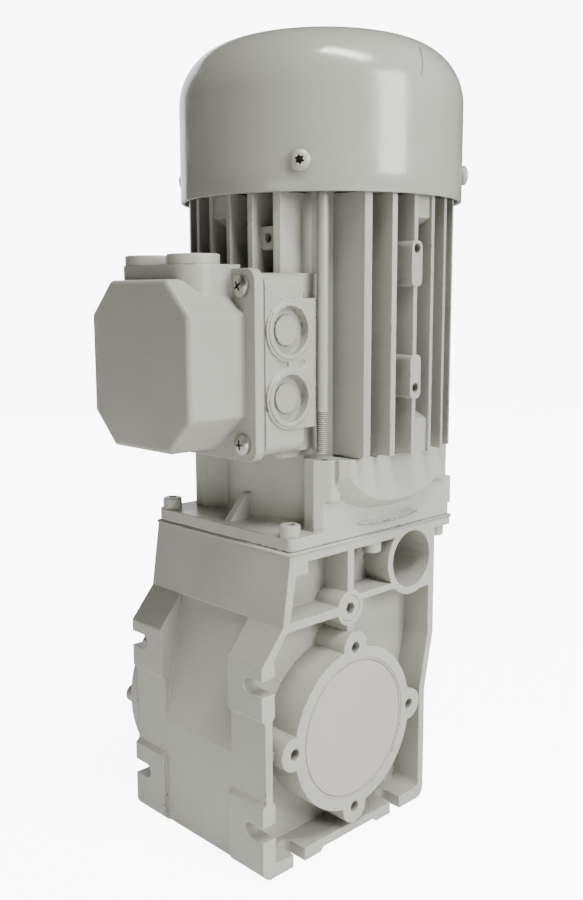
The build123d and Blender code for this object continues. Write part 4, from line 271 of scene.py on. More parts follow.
def lacquered_sheets():
    """Electrical steel sheets, stamped 0.5 mm thick, stacked and dipped in dark blue grey
    varnish: level lines all round. One is drawn for every eleven sheets, so that they show."""
    material, add = new_material("varnished_electrical_steel")
    where = add("ShaderNodeTexCoord")["Object"]
    lines = add("ShaderNodeTexWave", {
        "Vector": where, "Scale": WAVE_TURN / (SHEET_LINE_GAP * MM), "Distortion": 0.0},
        wave_type="BANDS", bands_direction="Z")["Fac"]
    ridge = add("ShaderNodeBump", {
        "Height": lines, "Distance": SHEET_LINE_DEPTH * MM, "Strength": 1.0})[0]
    steel = add("ShaderNodeBsdfPrincipled", {
        "Base Color": layered(add, "#3A3F45", (lines, "#6C727A")), "Metallic": 0.7,
        "Roughness": 0.42, "Normal": ridge})[0]
    add("ShaderNodeOutputMaterial", {"Surface": steel})
    return material


def enamelled_wire():
    """Bunched copper wire of 0.6 mm under clear enamel, running round the bore: glossy strands
    with dark lines between them. Drawn 0.9 mm thick, so that they show."""
    material, add = new_material("enamelled_copper_wire")
    where = add("ShaderNodeTexCoord")["Object"]
    drawn_out = add("ShaderNodeMapping", {
        "Vector": where, "Scale": (STRAND_STRETCH, STRAND_STRETCH, 1)})[0]
    strands = pattern(add, drawn_out, STRAND_SIZE)
    ridge = add("ShaderNodeBump", {
        "Height": strands, "Distance": STRAND_DEPTH * MM, "Strength": 1.0})[0]
    wire = add("ShaderNodeBsdfPrincipled", {
        "Base Color": layered(add, "#6E2F14", (strands, "#C6703A")), "Metallic": 0.85,
        "Roughness": 0.32, "Coat Weight": 0.6, "Normal": ridge})[0]
    add("ShaderNodeOutputMaterial", {"Surface": wire})
    return material


# Third colour of each enamel: the dust, also laid as painted shade in corners, gaps and recesses.
# Fourth: the thin paint, also laid as a painted highlight along the edges.
CASE_PAINT = grey_enamel(
    "grey_enamel_on_sand_cast_aluminium", ("#A8A89D", "#A0A096", "#868680", "#D3D1CA"),
    cast_mm=1.1, cast_depth_mm=0.1, edge_mm=0.9, roughness=0.35)
HOUSING_PAINT = grey_enamel(
    "grey_enamel_on_die_cast_fins", ("#A5A59A", "#9C9C91", "#75756E", "#D0CEC6"),
    cast_mm=0.9, cast_depth_mm=0.06, edge_mm=0.6, roughness=0.34, grime_and_shade=0.75)
BOX_PAINT = grey_enamel(
    "grey_enamel_on_die_cast_box", ("#A1A196", "#9A9A8F", "#82827B", "#CFCDC5"),
    cast_mm=0.8, cast_depth_mm=0.07, edge_mm=0.9, roughness=0.33)
COWL_PAINT = grey_enamel(
    "grey_enamel_on_pressed_steel", ("#9F9F95", "#999A8F", "#84847E", "#D0CEC7"),
    cast_mm=1.6, cast_depth_mm=0.02, edge_mm=0.5, roughness=0.17, grime_and_shade=0.3, wear_and_edge_highlight=0.0)
SCREW_PAINT = grey_enamel(
    "grey_enamel_on_screws", ("#A8A89E", "#9E9E94", "#7C7C77", "#D8D6D2"),
    cast_mm=0.5, cast_depth_mm=0.03, edge_mm=0.2, roughness=0.32)
# The very dark dust colour and the strong grime here paint shade into the grooves of the thread.
ROD_PAINT = grey_enamel(
    "grey_enamel_on_rolled_thread", ("#A4A49A", "#9A9A90", "#4F4F48", "#D8D6D2"),
    cast_mm=0.5, cast_depth_mm=0.02, edge_mm=0.02, roughness=0.3, grime_and_shade=1.6)
PLUG_PAINT = grey_enamel(
    "grey_enamel_on_plugs", ("#A6A69B", "#9F9F94", "#82827B", "#CFCDC6"),
    cast_mm=0.8, cast_depth_mm=0.02, edge_mm=0.4, roughness=0.32)
CAP_PAINT = grey_enamel(
    "grey_enamel_on_pressed_cap", ("#AAA89F", "#A3A198", "#8C8B85", "#D0CEC8"),
    cast_mm=1.4, cast_depth_mm=0.02, edge_mm=0.4, roughness=0.3, grime_and_shade=0.3)

MACHINED_STEEL = bare_metal("turned_carbon_steel", "#8E9093", "#7E8083", 0.28, brush_mm=0.25)
SHAFT_STEEL = bare_metal("ground_shaft_steel", "#A2A4A6", "#909294", 0.2, brush_mm=0.2,
                         brush_along="Y")
GEAR_STEEL = bare_metal("case_hardened_gear_steel", "#6F7175", "#5C5E63", 0.3, brush_mm=0.3)
BEARING_STEEL = bare_metal("polished_bearing_steel", "#A9ABAE", "#9A9CA0", 0.14, brush_mm=0.3,
                           pit_depth_mm=0.003)
SPRING_STEEL = bare_metal("oiled_spring_steel", "#3C3D40", "#2E2F32", 0.35)
ZINC = bare_metal("bright_zinc_plate", "#BDBBB3", "#A3A197", 0.3, pits_mm=0.5)
BRASS = bare_metal("free_cutting_brass", "#B5934E", "#A48142", 0.28, brush_mm=0.25,
                   brush_along="X")
BLACK_PLASTIC = moulded("glass_filled_black_nylon", "#1F1F20", "#262628", 0.5)
GASKET = moulded("grey_fibre_gasket", "#6A675F", "#59564F", 0.85, grain_mm=0.7)
RUBBER = moulded("black_nitrile_rubber", "#1B1B1B", "#232323", 0.6)
LAMINATIONS = lacquered_sheets()
WIRE = enamelled_wire()

# Finishes of the solids. Of the rest, bearing rings are BEARING_STEEL, others MACHINED_STEEL.
FINISH = {
    "gear_case": CASE_PAINT, "output_cover": CASE_PAINT, "drive_shield": CASE_PAINT,
    "motor_housing": HOUSING_PAINT, "fan_shield": HOUSING_PAINT,
    "terminal_base": BOX_PAINT, "terminal_cover": BOX_PAINT, "fan_cover": COWL_PAINT,
    "closing_cap": CAP_PAINT, "blanking_plugs": PLUG_PAINT, "oil_plug": SCREW_PAINT,
    "flange_screws": SCREW_PAINT, "output_cover_screws": SCREW_PAINT, "base_screws": SCREW_PAINT,
    "fan_cover_screws": SCREW_PAINT, "tie_rod_nuts": SCREW_PAINT, "tie_rods": ROD_PAINT,
    "cover_screws": ZINC, "board_screws": ZINC, "earth_screw": ZINC,
    "case_gasket": GASKET, "terminal_gasket": GASKET, "output_seal": RUBBER,
    "motor_seal": RUBBER, "stator_core": LAMINATIONS, "rotor_core": LAMINATIONS,
    "windings": WIRE, "terminal_board": BLACK_PLASTIC, "terminal_studs": BRASS,
    "fan": BLACK_PLASTIC, "bearing_clip": SPRING_STEEL, "wheel_clip": SPRING_STEEL,
    "output_shaft": SHAFT_STEEL, "rotor_shaft": SHAFT_STEEL, "countershaft": GEAR_STEEL,
    "motor_pinion": GEAR_STEEL, "helical_wheel": GEAR_STEEL, "bevel_wheel": GEAR_STEEL,
}


def finish_solids():
    """Gives every CAD node its material."""
    for name, made in sorted(nodes.items()):
        finish = FINISH.get(name, BEARING_STEEL if "bearing" in name else MACHINED_STEEL)
        made.data.materials.clear()
        made.data.materials.append(finish)


# Pieces grown by Geometry Nodes

SMOOTH_UP_TO = 40  # degrees between two faces
TURN_SEED = 7
BOTTOM_UP = Vector((0.01, 0.1, 1.0))  # orders a node's solids. It slants, so none are level.


def solids_of(node):
    """The separate solids of a CAD node from the bottom up, each as its corner points."""
    shell = bmesh.new()
    shell.from_mesh(nodes[node].data)
    bmesh.ops.remove_doubles(shell, verts=shell.verts, dist=SAME_POINT)
    met, solids = set(), []
    for first in shell.verts:
        if first in met:
            continue
        met.add(first)
        group, edge = [], [first]
        while edge:
            vert = edge.pop()
            group.append(vert.co.copy())
            for link in vert.link_edges:
                other = link.other_vert(vert)
                if other not in met:
                    met.add(other)
                    edge.append(other)
        solids.append(group)
    shell.free()
    return sorted(solids, key=lambda group: (sum(group, Vector()) / len(group)).dot(BOTTOM_UP))


def screw_places(node, facing):
    """Top centre and direction of every screw of a CAD node; facing gives the direction."""
    places = []
    for corner_points in solids_of(node):
        middle = sum(corner_points, Vector()) / len(corner_points)
        out = facing(middle, corner_points).normalized()
        top = max(point.dot(out) for point in corner_points)
        places.append((middle + out * (top - middle.dot(out)), out))
    return places


def places_mesh(name, places):
    """Loose points, each with the direction that its copy faces."""
    mesh = bpy.data.meshes.new(name)
    mesh.from_pydata([place for place, _ in places], [], [])
    facing = mesh.attributes.new("facing", "FLOAT_VECTOR", "POINT")
    facing.data.foreach_set("vector", [number for _, out in places for number in out])
    return mesh


def geometry_tree(name, sizes):
    """A tree with a Places mesh, the named sizes and a Finish as its inputs, the function that
    adds nodes to it, and the sockets of what it is given."""
    tree = bpy.data.node_groups.new(name, "GeometryNodeTree")
    face = tree.interface
    face.new_socket("Geometry", in_out="OUTPUT", socket_type="NodeSocketGeometry")
    face.new_socket("Places", in_out="INPUT", socket_type="NodeSocketGeometry")
    for label in sizes:
        kind = "NodeSocketInt" if label.endswith("Count") else "NodeSocketFloat"
        face.new_socket(label, in_out="INPUT", socket_type=kind)
    face.new_socket("Finish", in_out="INPUT", socket_type="NodeSocketMaterial")
    add = partial(add_node, tree)
    return tree, add, add("NodeGroupInput")


def copies_at_places(add, given, single):
    """Ends a tree: a copy at every place, turned by chance, made real and smoothed."""
    facing = add("GeometryNodeInputNamedAttribute", {"Name": "facing"},
                 data_type="FLOAT_VECTOR")["Attribute"]
    aimed = add("FunctionNodeAlignRotationToVector", {"Vector": facing}, axis="Z")[0]
    spin = add("FunctionNodeRandomValue", {"Max": tau, "Seed": TURN_SEED},
               data_type="FLOAT")["Value"]
    spun = add("FunctionNodeAxisAngleToRotation", {"Axis": (0, 0, 1), "Angle": spin})[0]
    turned = add("FunctionNodeRotateRotation", {"Rotation": aimed, "Rotate By": spun},
                 rotation_space="LOCAL")[0]
    copies = add("GeometryNodeInstanceOnPoints", {
        "Points": given["Places"], "Instance": single, "Rotation": turned})[0]
    real = add("GeometryNodeRealizeInstances", {"Geometry": copies})[0]
    bend = add("GeometryNodeInputMeshEdgeAngle")["Unsigned Angle"]
    soft = add("FunctionNodeCompare", {"A": bend, "B": radians(SMOOTH_UP_TO)},
               data_type="FLOAT", operation="LESS_THAN")[0]
    smooth = add("GeometryNodeSetShadeSmooth", {"Geometry": real})[0]
    creased = add("GeometryNodeSetShadeSmooth", {"Geometry": smooth, "Shade Smooth": soft},
                  domain="EDGE")[0]
    finish = add("GeometryNodeSetMaterial", {
        "Geometry": creased, "Material": given["Finish"]})[0]
    add("NodeGroupOutput", {"Geometry": finish})


def grow(name, tree, places, sizes, finish):
    """Runs a tree on its places and keeps the result as a plain mesh at the origin."""
    carrier = in_scene(name + "_places", places_mesh(name + "_places", places))
    maker = carrier.modifiers.new("maker", "NODES")
    maker.node_group = tree
    given = {**sizes, "Finish": finish}
    for item in tree.interface.items_tree:
        if item.name in given:
            maker[item.identifier] = given[item.name]
    return as_plain_mesh(carrier, name)


# Screws with their drives

SCREW_SIZES = ("Head Radius", "Head Height", "Crown", "Drive Radius", "Drive Depth",
               "Shank Radius", "Shank Length")
HEX = {"Drive Count": 6, "Drive Waist": 1.0, "Drive Taper": 0.0}
CROSS = {"Drive Count": 16, "Drive Waist": 0.36, "Drive Taper": 0.35}
SIX_LOBE = {"Drive Count": 24, "Drive Waist": 0.7, "Drive Taper": 0.0}
EDGE_ROUNDED = 14  # a crown's power: high where it falls at the edge alone, low where domed
SCREWS = {
    # node: direction of all its heads, or None for those that point away from the motor,
    # drive, crown's power, SCREW_SIZES in millimetres, finish and slot
    "flange_screws": ((0, 0, 1), HEX, EDGE_ROUNDED, (4.25, 5.0, 0.5, 2.3, 2.5, 2.5, 9.0),
                      SCREW_PAINT, "painted_screws"),
    "output_cover_screws": ((0, 1, 0), HEX, EDGE_ROUNDED, (4.25, 5.0, 0.5, 2.3, 2.5, 2.5, 16.0),
                            SCREW_PAINT, "painted_screws"),
    "cover_screws": ((-1, 0, 0), CROSS, 2.6, (4.15, 2.6, 1.1, 2.5, 2.1, 2.0, 15.0),
                     ZINC, "zinc"),
    "fan_cover_screws": (None, SIX_LOBE, 2.8, (4.1, 2.6, 1.45, 1.9, 2.0, 2.0, 8.0),
                         SCREW_PAINT, "painted_screws"),
}
HEAD_SIDES, HEAD_RINGS = 36, 9
BAR_SIDES = 24


def screw_tree():
    """One screw with its head's top at the place: a turned head, domed or edge-rounded, with
    a pressed drive of Drive Count corners, in fours of two far and two near ones."""
    tree, add, given = geometry_tree("screws", (*SCREW_SIZES, "Crown Power", *HEX))
    radius, height = given["Head Radius"], given["Head Height"]

    def level(value):
        """A step along the screw."""
        return add("ShaderNodeCombineXYZ", {"Z": value})[0]

    def rest(value):
        """What a share leaves of one."""
        return add("ShaderNodeMath", {0: 1.0, 1: value}, operation="SUBTRACT")[0]

    blank = add("GeometryNodeMeshCylinder", {
        "Vertices": HEAD_SIDES, "Side Segments": 1, "Fill Segments": HEAD_RINGS,
        "Radius": radius, "Depth": height}, fill_type="TRIANGLE_FAN")["Mesh"]
    apart = add("ShaderNodeSeparateXYZ", {0: add("GeometryNodeInputPosition")[0]})
    flat = add("ShaderNodeCombineXYZ", {"X": apart[0], "Y": apart[1]})[0]
    reach = add("ShaderNodeVectorMath", {0: flat}, operation="LENGTH")["Value"]
    share = add("ShaderNodeMath", {0: reach, 1: radius}, operation="DIVIDE")[0]
    fall = add("ShaderNodeMath", {0: share, 1: given["Crown Power"]}, operation="POWER")[0]
    on_top = add("ShaderNodeMath", {0: apart[2], 1: 0.0}, operation="GREATER_THAN")[0]
    domed = add("GeometryNodeSetPosition", {
        "Geometry": blank, "Selection": on_top,
        "Offset": level(product(add, fall, given["Crown"], -1.0))})[0]
    head = add("GeometryNodeTransform", {
        "Geometry": domed, "Translation": level(product(add, height, -0.5))})[0]

    punch = add("GeometryNodeMeshCylinder", {
        "Vertices": given["Drive Count"], "Radius": given["Drive Radius"],
        "Depth": product(add, given["Drive Depth"], 2.0)}, fill_type="NGON")["Mesh"]
    corner = add("ShaderNodeMath", {0: add("GeometryNodeInputIndex")[0], 1: 4.0},
                 operation="MODULO")[0]
    near = add("ShaderNodeMath", {0: corner, 1: 1.5}, operation="GREATER_THAN")[0]
    below = add("ShaderNodeMath", {0: apart[2], 1: 0.0}, operation="LESS_THAN")[0]
    size = product(add, rest(product(add, near, rest(given["Drive Waist"]))),
                   rest(product(add, below, given["Drive Taper"])))
    shaped = add("ShaderNodeCombineXYZ", {
        "X": product(add, apart[0], size), "Y": product(add, apart[1], size),
        "Z": apart[2]})[0]
    drive = add("GeometryNodeSetPosition", {"Geometry": punch, "Position": shaped})[0]
    cut = add("GeometryNodeMeshBoolean", {0: head, 1: drive}, operation="DIFFERENCE")["Mesh"]

    shank = add("GeometryNodeMeshCylinder", {
        "Vertices": BAR_SIDES, "Radius": given["Shank Radius"],
        "Depth": given["Shank Length"]}, fill_type="NGON")["Mesh"]
    depth = add("ShaderNodeMath", {0: given["Shank Length"], 1: 0.5, 2: height},
                operation="MULTIPLY_ADD")[0]
    placed = add("GeometryNodeTransform", {
        "Geometry": shank, "Translation": level(product(add, depth, -1.0))})[0]
    single = add("GeometryNodeJoinGeometry", {0: [placed, cut]})[0]
    copies_at_places(add, given, single)
    return tree


def away_from_motor(middle, points):
    """Level direction from the motor's axis to a screw."""
    axis = motor_axis()
    return Vector((middle.x - axis.x, middle.y - axis.y, 0))


def towards_head(direction):
    """Along one line, towards the end that the wide head is at: an eighth of the corners at
    either end tells which one it is."""
    along = Vector(direction)

    def facing(middle, points):
        ends = sorted(points, key=lambda point: point.dot(along))
        few = max(3, len(ends) // 8)

        def width(end):
            at = sum(end, Vector()) / len(end)
            return max((point - at).length for point in end)
        return along if width(ends[-few:]) > width(ends[:few]) else -along
    return facing


def dress_screws():
    """Screws with their drives, in place of the plain ones."""
    tree = screw_tree()
    for node, (direction, drive, crown_power, sizes, finish, slot) in SCREWS.items():
        facing = towards_head(direction) if direction else away_from_motor
        values = {"Crown Power": crown_power, **drive}
        values.update((label, size * MM) for label, size in zip(SCREW_SIZES, sizes))
        piece = grow(node + "_turned", tree, screw_places(node, facing), values, finish)
        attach(piece, "case")
        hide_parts(node)


# Tie rods, with their sizes in millimetres

ROD_SIZES = {"Wound Radius": 2.1, "Ridge Radius": 0.32, "Pitch": 0.8, "Thread Length": 17.0,
             "Root Radius": 1.9, "Shank Radius": 2.35}
TURN_STEPS, RIDGE_SIDES = 16, 6


def tie_rod_tree():
    """One long M5 stud from its place up: a threaded end and a plain shank above it."""
    tree, add, given = geometry_tree("tie_rods", (*ROD_SIZES, "Rod Length"))
    threaded, pitch = given["Thread Length"], given["Pitch"]
    helix = add("GeometryNodeCurveSpiral", {
        "Resolution": TURN_STEPS,
        "Rotations": add("ShaderNodeMath", {0: threaded, 1: pitch}, operation="DIVIDE")[0],
        "Start Radius": given["Wound Radius"], "End Radius": given["Wound Radius"],
        "Height": threaded})[0]
    ridge = add("GeometryNodeCurvePrimitiveCircle", {
        "Resolution": RIDGE_SIDES, "Radius": given["Ridge Radius"]})[0]
    wound = add("GeometryNodeCurveToMesh", {
        "Curve": helix, "Profile Curve": ridge, "Fill Caps": True})[0]

    def bar(radius, start, length):
        """A round bar from a height up."""
        round_bar = add("GeometryNodeMeshCylinder", {
            "Vertices": BAR_SIDES, "Radius": radius, "Depth": length}, fill_type="NGON")["Mesh"]
        middle = add("ShaderNodeMath", {0: length, 1: 0.5, 2: start},
                     operation="MULTIPLY_ADD")[0]
        lift = add("ShaderNodeCombineXYZ", {"Z": middle})[0]
        return add("GeometryNodeTransform", {"Geometry": round_bar, "Translation": lift})[0]

    plain = add("ShaderNodeMath", {0: given["Rod Length"], 1: threaded},
                operation="SUBTRACT")[0]
    single = add("GeometryNodeJoinGeometry", {0: [
        wound, bar(given["Root Radius"], 0.0, threaded),
        bar(given["Shank Radius"], threaded, plain)]})[0]
    copies_at_places(add, given, single)
    return tree


def thread_tie_rods():
    """The four studs, with the thread that shows above the columns of the drive shield."""
    column_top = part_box("drive_shield")[1].z
    rod_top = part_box("tie_rods")[1].z
    places = []
    for points in solids_of("tie_rods"):
        middle = sum(points, Vector()) / len(points)
        places.append((Vector((middle.x, middle.y, column_top)), Vector((0, 0, 1))))
    sizes = {label: size * MM for label, size in ROD_SIZES.items()}
    sizes["Rod Length"] = rod_top - column_top
    rods = grow("tie_rods_threaded", tie_rod_tree(), places, sizes, ROD_PAINT)
    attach(rods, "case")
    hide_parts("tie_rods")


# Fan cover, flatter than its solid, which is 5.5 mm too tall, with its sizes in millimetres

COWL_RIM, COWL_TOP = 275.5, 345.5  # heights
COWL_SIDE_RADIUS, COWL_CORNER_RADIUS, COWL_DOME_RADIUS = 61.7, 25.0, 170.0
COWL_WALL, RIM_ROUND = 1.7, 0.45
RIM_EASE = 0.3  # how far in from the rim's corner its rounding lies, as a share of RIM_ROUND
INLET_SLOTS, INLET_WIDTH, INLET_FROM, INLET_TO = 16, 3.0, 14.0, 40.0
MIDDLE_RINGS = (9.0, 4.0)  # radii inside the slots
SIDE_STEPS, CORNER_STEPS, SLOT_STEPS = 5, 16, 8
SLOT_END_ANGLES = (0, 25, 50, 75, 90)
BETWEEN_SLOTS = 6  # columns of the shell from one slot to the next
CLOSED_SHARE = 0.6  # width that a slot's two columns keep where the shell is closed
RIM_HALF_ANGLE = 0.03  # half of the angle between those two columns at the rim, in radians
COWL_CREASE = 35  # degrees between two faces from which an edge looks sharp


def cowl_profile():
    """Points from the rim to the top as radius, height and the outward direction there."""
    corner_x = COWL_SIDE_RADIUS - COWL_CORNER_RADIUS
    dome_z = COWL_TOP - COWL_DOME_RADIUS
    reach = COWL_DOME_RADIUS - COWL_CORNER_RADIUS
    corner_z = dome_z + sqrt(reach ** 2 - corner_x ** 2)
    lean = asin(corner_x / reach)
    side_from, side_height = COWL_RIM + RIM_ROUND, corner_z - COWL_RIM
    side = [(COWL_SIDE_RADIUS, side_from + side_height * step / SIDE_STEPS, pi / 2)
            for step in range(SIDE_STEPS)]
    corner = []
    for step in range(CORNER_STEPS + 1):
        turn = pi / 2 + (lean - pi / 2) * step / CORNER_STEPS
        corner.append((corner_x + COWL_CORNER_RADIUS * sin(turn),
                       corner_z + COWL_CORNER_RADIUS * cos(turn), turn))
    half = INLET_WIDTH / 2
    ends = [half * (1 - cos(radians(angle))) for angle in SLOT_END_ANGLES]
    straight_from, straight_to = INLET_FROM + half, INLET_TO - half
    radii = [INLET_TO - end for end in ends]
    radii += [straight_from + (straight_to - straight_from) * step / SLOT_STEPS
              for step in reversed(range(1, SLOT_STEPS))]
    radii += [INLET_FROM + end for end in reversed(ends)] + [*MIDDLE_RINGS]
    dome = [(r, dome_z + sqrt(COWL_DOME_RADIUS ** 2 - r ** 2), asin(r / COWL_DOME_RADIUS))
            for r in radii]
    return side + corner + dome


def slot_half_angle(radius):
    """Half of the angle between a slot's two columns: straight sides with round ends."""
    half = INLET_WIDTH / 2
    inside = min(INLET_TO - radius, radius - INLET_FROM)
    if inside < -SAME_POINT / MM:
        return asin(half / max(radius, 2 * INLET_WIDTH)) * CLOSED_SHARE
    width = half if inside >= half else sqrt(max(0.0, half ** 2 - (half - inside) ** 2))
    return asin(width / radius)


def cowl_mesh():
    """The pressed steel cover: two skins one wall apart, joined at the rim and in the slots."""
    axis = motor_axis() / MM
    profile = cowl_profile()
    sector = tau / INLET_SLOTS
    per_slot = BETWEEN_SLOTS + 2
    columns = INLET_SLOTS * per_slot
    shell = bmesh.new()

    def ring(radius, height, half):
        """Points all round, where the two columns of a slot are twice the angle half apart."""
        made = []
        for slot in range(INLET_SLOTS):
            angles = [-half, half]
            angles += [half + (sector - 2 * half) * (step + 1) / (BETWEEN_SLOTS + 1)
                       for step in range(BETWEEN_SLOTS)]
            for angle in angles:
                turn = slot * sector + angle
                made.append(shell.verts.new(((axis.x + radius * cos(turn)) * MM,
                                             (axis.y + radius * sin(turn)) * MM, height * MM)))
        return made

    def in_slot(level, column):
        radius = (profile[level][0] + profile[level + 1][0]) / 2
        return column % per_slot == 0 and INLET_FROM < radius < INLET_TO

    def band(first, second, level=None):
        """Faces between two rings. A level of the profile leaves its slots open."""
        for column in range(columns):
            if level is None or not in_slot(level, column):
                after = (column + 1) % columns
                shell.faces.new((first[column], first[after], second[after], second[column]))

    skins = []
    for inset in (0.0, COWL_WALL):
        skins.append([ring(r - inset * sin(turn), z - inset * cos(turn), slot_half_angle(r))
                      for r, z, turn in profile])
    for rings in skins:
        for level in range(len(profile) - 1):
            band(rings[level], rings[level + 1], level)
        shell.faces.new(rings[-1])
    outer, inner = skins
    eased = RIM_EASE * RIM_ROUND
    round_rim = ((COWL_SIDE_RADIUS - eased, COWL_RIM + eased),
                 (COWL_SIDE_RADIUS - COWL_WALL / 2, COWL_RIM),
                 (COWL_SIDE_RADIUS - COWL_WALL + eased, COWL_RIM + eased))
    rim = [outer[0], *(ring(r, z, RIM_HALF_ANGLE) for r, z in round_rim), inner[0]]
    for upper, lower in zip(rim, rim[1:]):
        band(upper, lower)
    for level in range(len(profile) - 1):
        for column in range(0, columns, per_slot):
            if in_slot(level, column):
                for side in (column, column + 1):
                    shell.faces.new((outer[level][side], outer[level + 1][side],
                                     inner[level + 1][side], inner[level][side]))
    bmesh.ops.remove_doubles(shell, verts=shell.verts, dist=SAME_POINT)
    bmesh.ops.dissolve_degenerate(shell, edges=shell.edges, dist=SAME_POINT / 10)
    bmesh.ops.recalc_face_normals(shell, faces=shell.faces)
    mesh = bpy.data.meshes.new("fan_cover_shell")
    shell.to_mesh(mesh)
    shell.free()
    return mesh


def fan_cover_shell():
    """The cover with its finish, in place of the solid."""
    mesh = cowl_mesh()
    mesh.shade_smooth()
    mesh.set_sharp_from_angle(angle=radians(COWL_CREASE))
    mesh.materials.append(COWL_PAINT)
    cover = in_scene("fan_cover_shell", mesh)
    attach(cover, "case")
    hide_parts("fan_cover")


# Beads and lines that follow an edge, with their sizes in millimetres

LIP_RADIUS, LIP_BELOW_TOP = 0.75, 0.95
AT_TOP = 0.01  # points this close to the casting's top are on its rim
SEAL_RADIUS, SEAL_BEHIND_FACE, SEAL_STEPS = 0.4, 0.5, 40
HAIRLINE = ((333.5, -91.0), (318.5, -97.0))  # height and direction at its two ends
HAIRLINE_RADIUS = 0.13
BEAD_ROUNDING = 2  # gives eight sides round a bead


def bead(name, points, radius_mm, finish, closed=True):
    """A round bead along points, as a plain mesh that rides with the case."""
    path = bpy.data.curves.new(name + "_path", "CURVE")
    path.dimensions = "3D"
    path.bevel_depth = radius_mm * MM
    path.bevel_resolution = BEAD_ROUNDING
    path.use_fill_caps = True
    line = path.splines.new("POLY")
    line.points.add(len(points) - 1)
    for point, place in zip(line.points, points):
        point.co = (*place, 1.0)
    line.use_cyclic_u = closed
    made = as_plain_mesh(in_scene(name + "_path", path), name)
    made.data.materials.clear()
    made.data.materials.append(finish)
    made.data.shade_smooth()
    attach(made, "case")


def outline(points):
    """The convex outline of points seen from above, anticlockwise and to the micrometre."""
    flat = sorted({(round(p.x, 6), round(p.y, 6)) for p in points})

    def chain(run):
        kept = []
        for x, y in run:
            while len(kept) > 1 and ((kept[-1][0] - kept[-2][0]) * (y - kept[-2][1])
                                     <= (kept[-1][1] - kept[-2][1]) * (x - kept[-2][0])):
                kept.pop()
            kept.append((x, y))
        return kept[:-1]
    return chain(flat) + chain(flat[::-1])


def case_lip():
    """The rounded lip that stands out round the top of the casting, under the gasket."""
    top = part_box("gear_case")[1].z
    rim = [v.co for v in nodes["gear_case"].data.vertices if v.co.z > top - AT_TOP * MM]
    points = [(x, y, top - LIP_BELOW_TOP * MM) for x, y in outline(rim)]
    bead("case_lip", points, LIP_RADIUS, CASE_PAINT)


def oil_plug_seal():
    """The black sealing ring that shows as a dark line round the oil plug."""
    low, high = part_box("oil_plug")
    middle = (low + high) / 2
    radius = (high.x - low.x) / 2
    turns = [tau * step / SEAL_STEPS for step in range(SEAL_STEPS)]
    points = [(middle.x + radius * cos(turn), low.y + SEAL_BEHIND_FACE * MM,
               middle.z + radius * sin(turn)) for turn in turns]
    bead("oil_plug_seal", points, SEAL_RADIUS, RUBBER)


def dome_hairline():
    """A fine crack in the paint, a quarter of a millimetre wide, that runs down the corner of
    the fan cover."""
    axis = motor_axis()
    (top, turn_top), (foot, turn_foot) = HAIRLINE
    points = []
    for r, z, _ in cowl_profile():
        if foot < z < top:
            turn = radians(turn_foot + (turn_top - turn_foot) * (z - foot) / (top - foot))
            points.append((axis.x + r * MM * cos(turn), axis.y + r * MM * sin(turn), z * MM))
    bead("dome_hairline", points, HAIRLINE_RADIUS, SPRING_STEEL, closed=False)


# Floor, lights and camera

ROOM_LIGHT = 0.055  # what the walls of the room give back to the motor
FLOOR_GLOW = 0.27  # what the lit floor gives back to it
BACKDROP = 9.0  # how bright floor and backdrop look to the camera, to stay white
FLOOR_REACH = 4.0  # metres from the middle to a side of the floor
MOTOR_MIDDLE = (0.0, 0.0, 0.17)


def for_camera(add, other, camera):
    """One number for the rays that the camera sees and another for the light they give."""
    seen = add("ShaderNodeLightPath")["Is Camera Ray"]
    return add("ShaderNodeMapRange", {"Value": seen, "To Min": other, "To Max": camera})[0]


def studio_floor():
    """A wide matt floor under the motor, which the camera sees as white as the backdrop."""
    mesh = bpy.data.meshes.new("studio_floor")
    signs = ((-1, -1), (1, -1), (1, 1), (-1, 1))
    mesh.from_pydata([(x * FLOOR_REACH, y * FLOOR_REACH, 0) for x, y in signs], [], [(0, 1, 2, 3)])
    floor = in_scene("studio_floor", mesh)
    floor.location = (0, 0, cad_box[0][2])
    material, add = new_material("matt_white_floor")
    where = add("ShaderNodeTexCoord")["Object"]
    matt = add("ShaderNodeBsdfPrincipled", {
        "Base Color": layered(add, "#F4F4F3", (pattern(add, where, 300.0), "#EFEFEE")),
        "Roughness": 0.8, "Specular IOR Level": 0.2, "Emission Color": srgb("#FFFFFF"),
        "Emission Strength": for_camera(add, FLOOR_GLOW, BACKDROP - ROOM_LIGHT)})[0]
    add("ShaderNodeOutputMaterial", {"Surface": matt})
    mesh.materials.append(material)


def softbox(name, place, aim, size, power, colour="#FFFFFF", spread=180, along=None):
    """A rectangular lamp that faces its aim. Its long side may lie along a direction."""
    light = bpy.data.lights.new(name, "AREA")
    light.color = srgb(colour)[:3]
    light.shape = "RECTANGLE"
    light.size, light.size_y = size
    light.energy = power
    light.spread = radians(spread)
    back = (Vector(place) - Vector(aim)).normalized()
    if along:
        side = (Vector(along) - back * back.dot(Vector(along))).normalized()
        turn = Matrix((side, back.cross(side), back)).transposed()
    else:
        turn = back.to_track_quat("Z", "Y").to_matrix()
    in_scene(name, light).matrix_world = Matrix.Translation(place) @ turn.to_4x4()


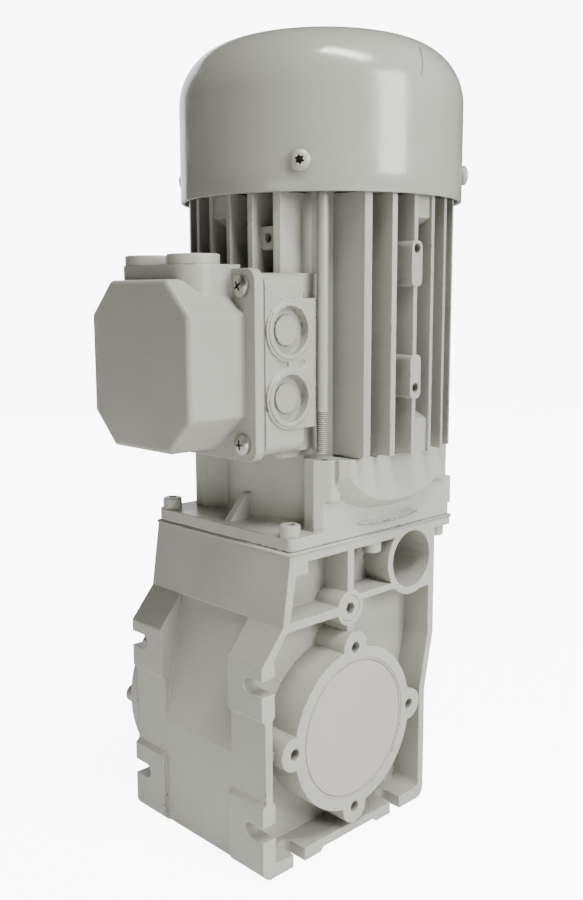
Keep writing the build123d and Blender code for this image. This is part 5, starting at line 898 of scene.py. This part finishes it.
def studio_lights():
    """A key light on the right, a weak fill on the left, a strip over the dome, one behind."""
    softbox("key_light", place=(0.22, -1.13, 0.62), aim=MOTOR_MIDDLE, size=(0.5, 0.6), power=19,
            colour="#FCFBFF")
    softbox("left_fill", place=(-0.85, -0.25, 0.08), aim=(0.0, 0.0, 0.03), size=(0.5, 0.2),
            power=0.2, colour="#FAFAEE", spread=50)
    softbox("dome_light", place=(-0.15, -0.58, 1.33), aim=(0.0, 0.0, 0.33), size=(0.6, 0.2),
            power=20, along=(0.34, -0.55, -0.22))
    softbox("back_fill", place=(0.5, 1.3, 0.6), aim=MOTOR_MIDDLE, size=(0.9, 0.9), power=7)


def sky():
    """A dim grey room in front of a white backdrop, which only the camera sees."""
    world = bpy.data.worlds.new("white_studio")
    world.use_nodes = True
    world.node_tree.nodes.clear()
    add = partial(add_node, world.node_tree)
    colour = layered(add, "#F6F6EA", (for_camera(add, 0.0, 1.0), "#FFFFFF"))
    backdrop = add("ShaderNodeBackground", {
        "Color": colour, "Strength": for_camera(add, ROOM_LIGHT, BACKDROP)})[0]
    add("ShaderNodeOutputWorld", {"Surface": backdrop})
    bpy.context.scene.world = world


def photo_camera():
    """The camera at the photograph's place, turned, lifted and rolled as it was."""
    turn, lift, roll = radians(CAMERA_TURN), radians(CAMERA_LIFT), radians(CAMERA_ROLL)
    back = Vector((sin(turn) * cos(lift), -cos(turn) * cos(lift), sin(lift)))
    right = Vector((cos(turn), sin(turn), 0))
    up = back.cross(right)
    across = right * cos(roll) + up * sin(roll)
    rise = up * cos(roll) - right * sin(roll)
    data = bpy.data.cameras.new("photo_camera")
    data.lens = CAMERA_LENS
    data.sensor_width = SENSOR_WIDTH
    camera = in_scene("photo_camera", data)
    camera.matrix_world = (Matrix.Translation(CAMERA_AT)
                           @ Matrix((across, rise, back)).transposed().to_4x4())
    bpy.context.scene.camera = camera


# The scene

finish_solids()
dress_screws()
thread_tie_rods()
fan_cover_shell()
case_lip()
oil_plug_seal()
dome_hairline()
studio_floor()
sky()
studio_lights()
photo_camera()

bpy.context.view_layer.update()
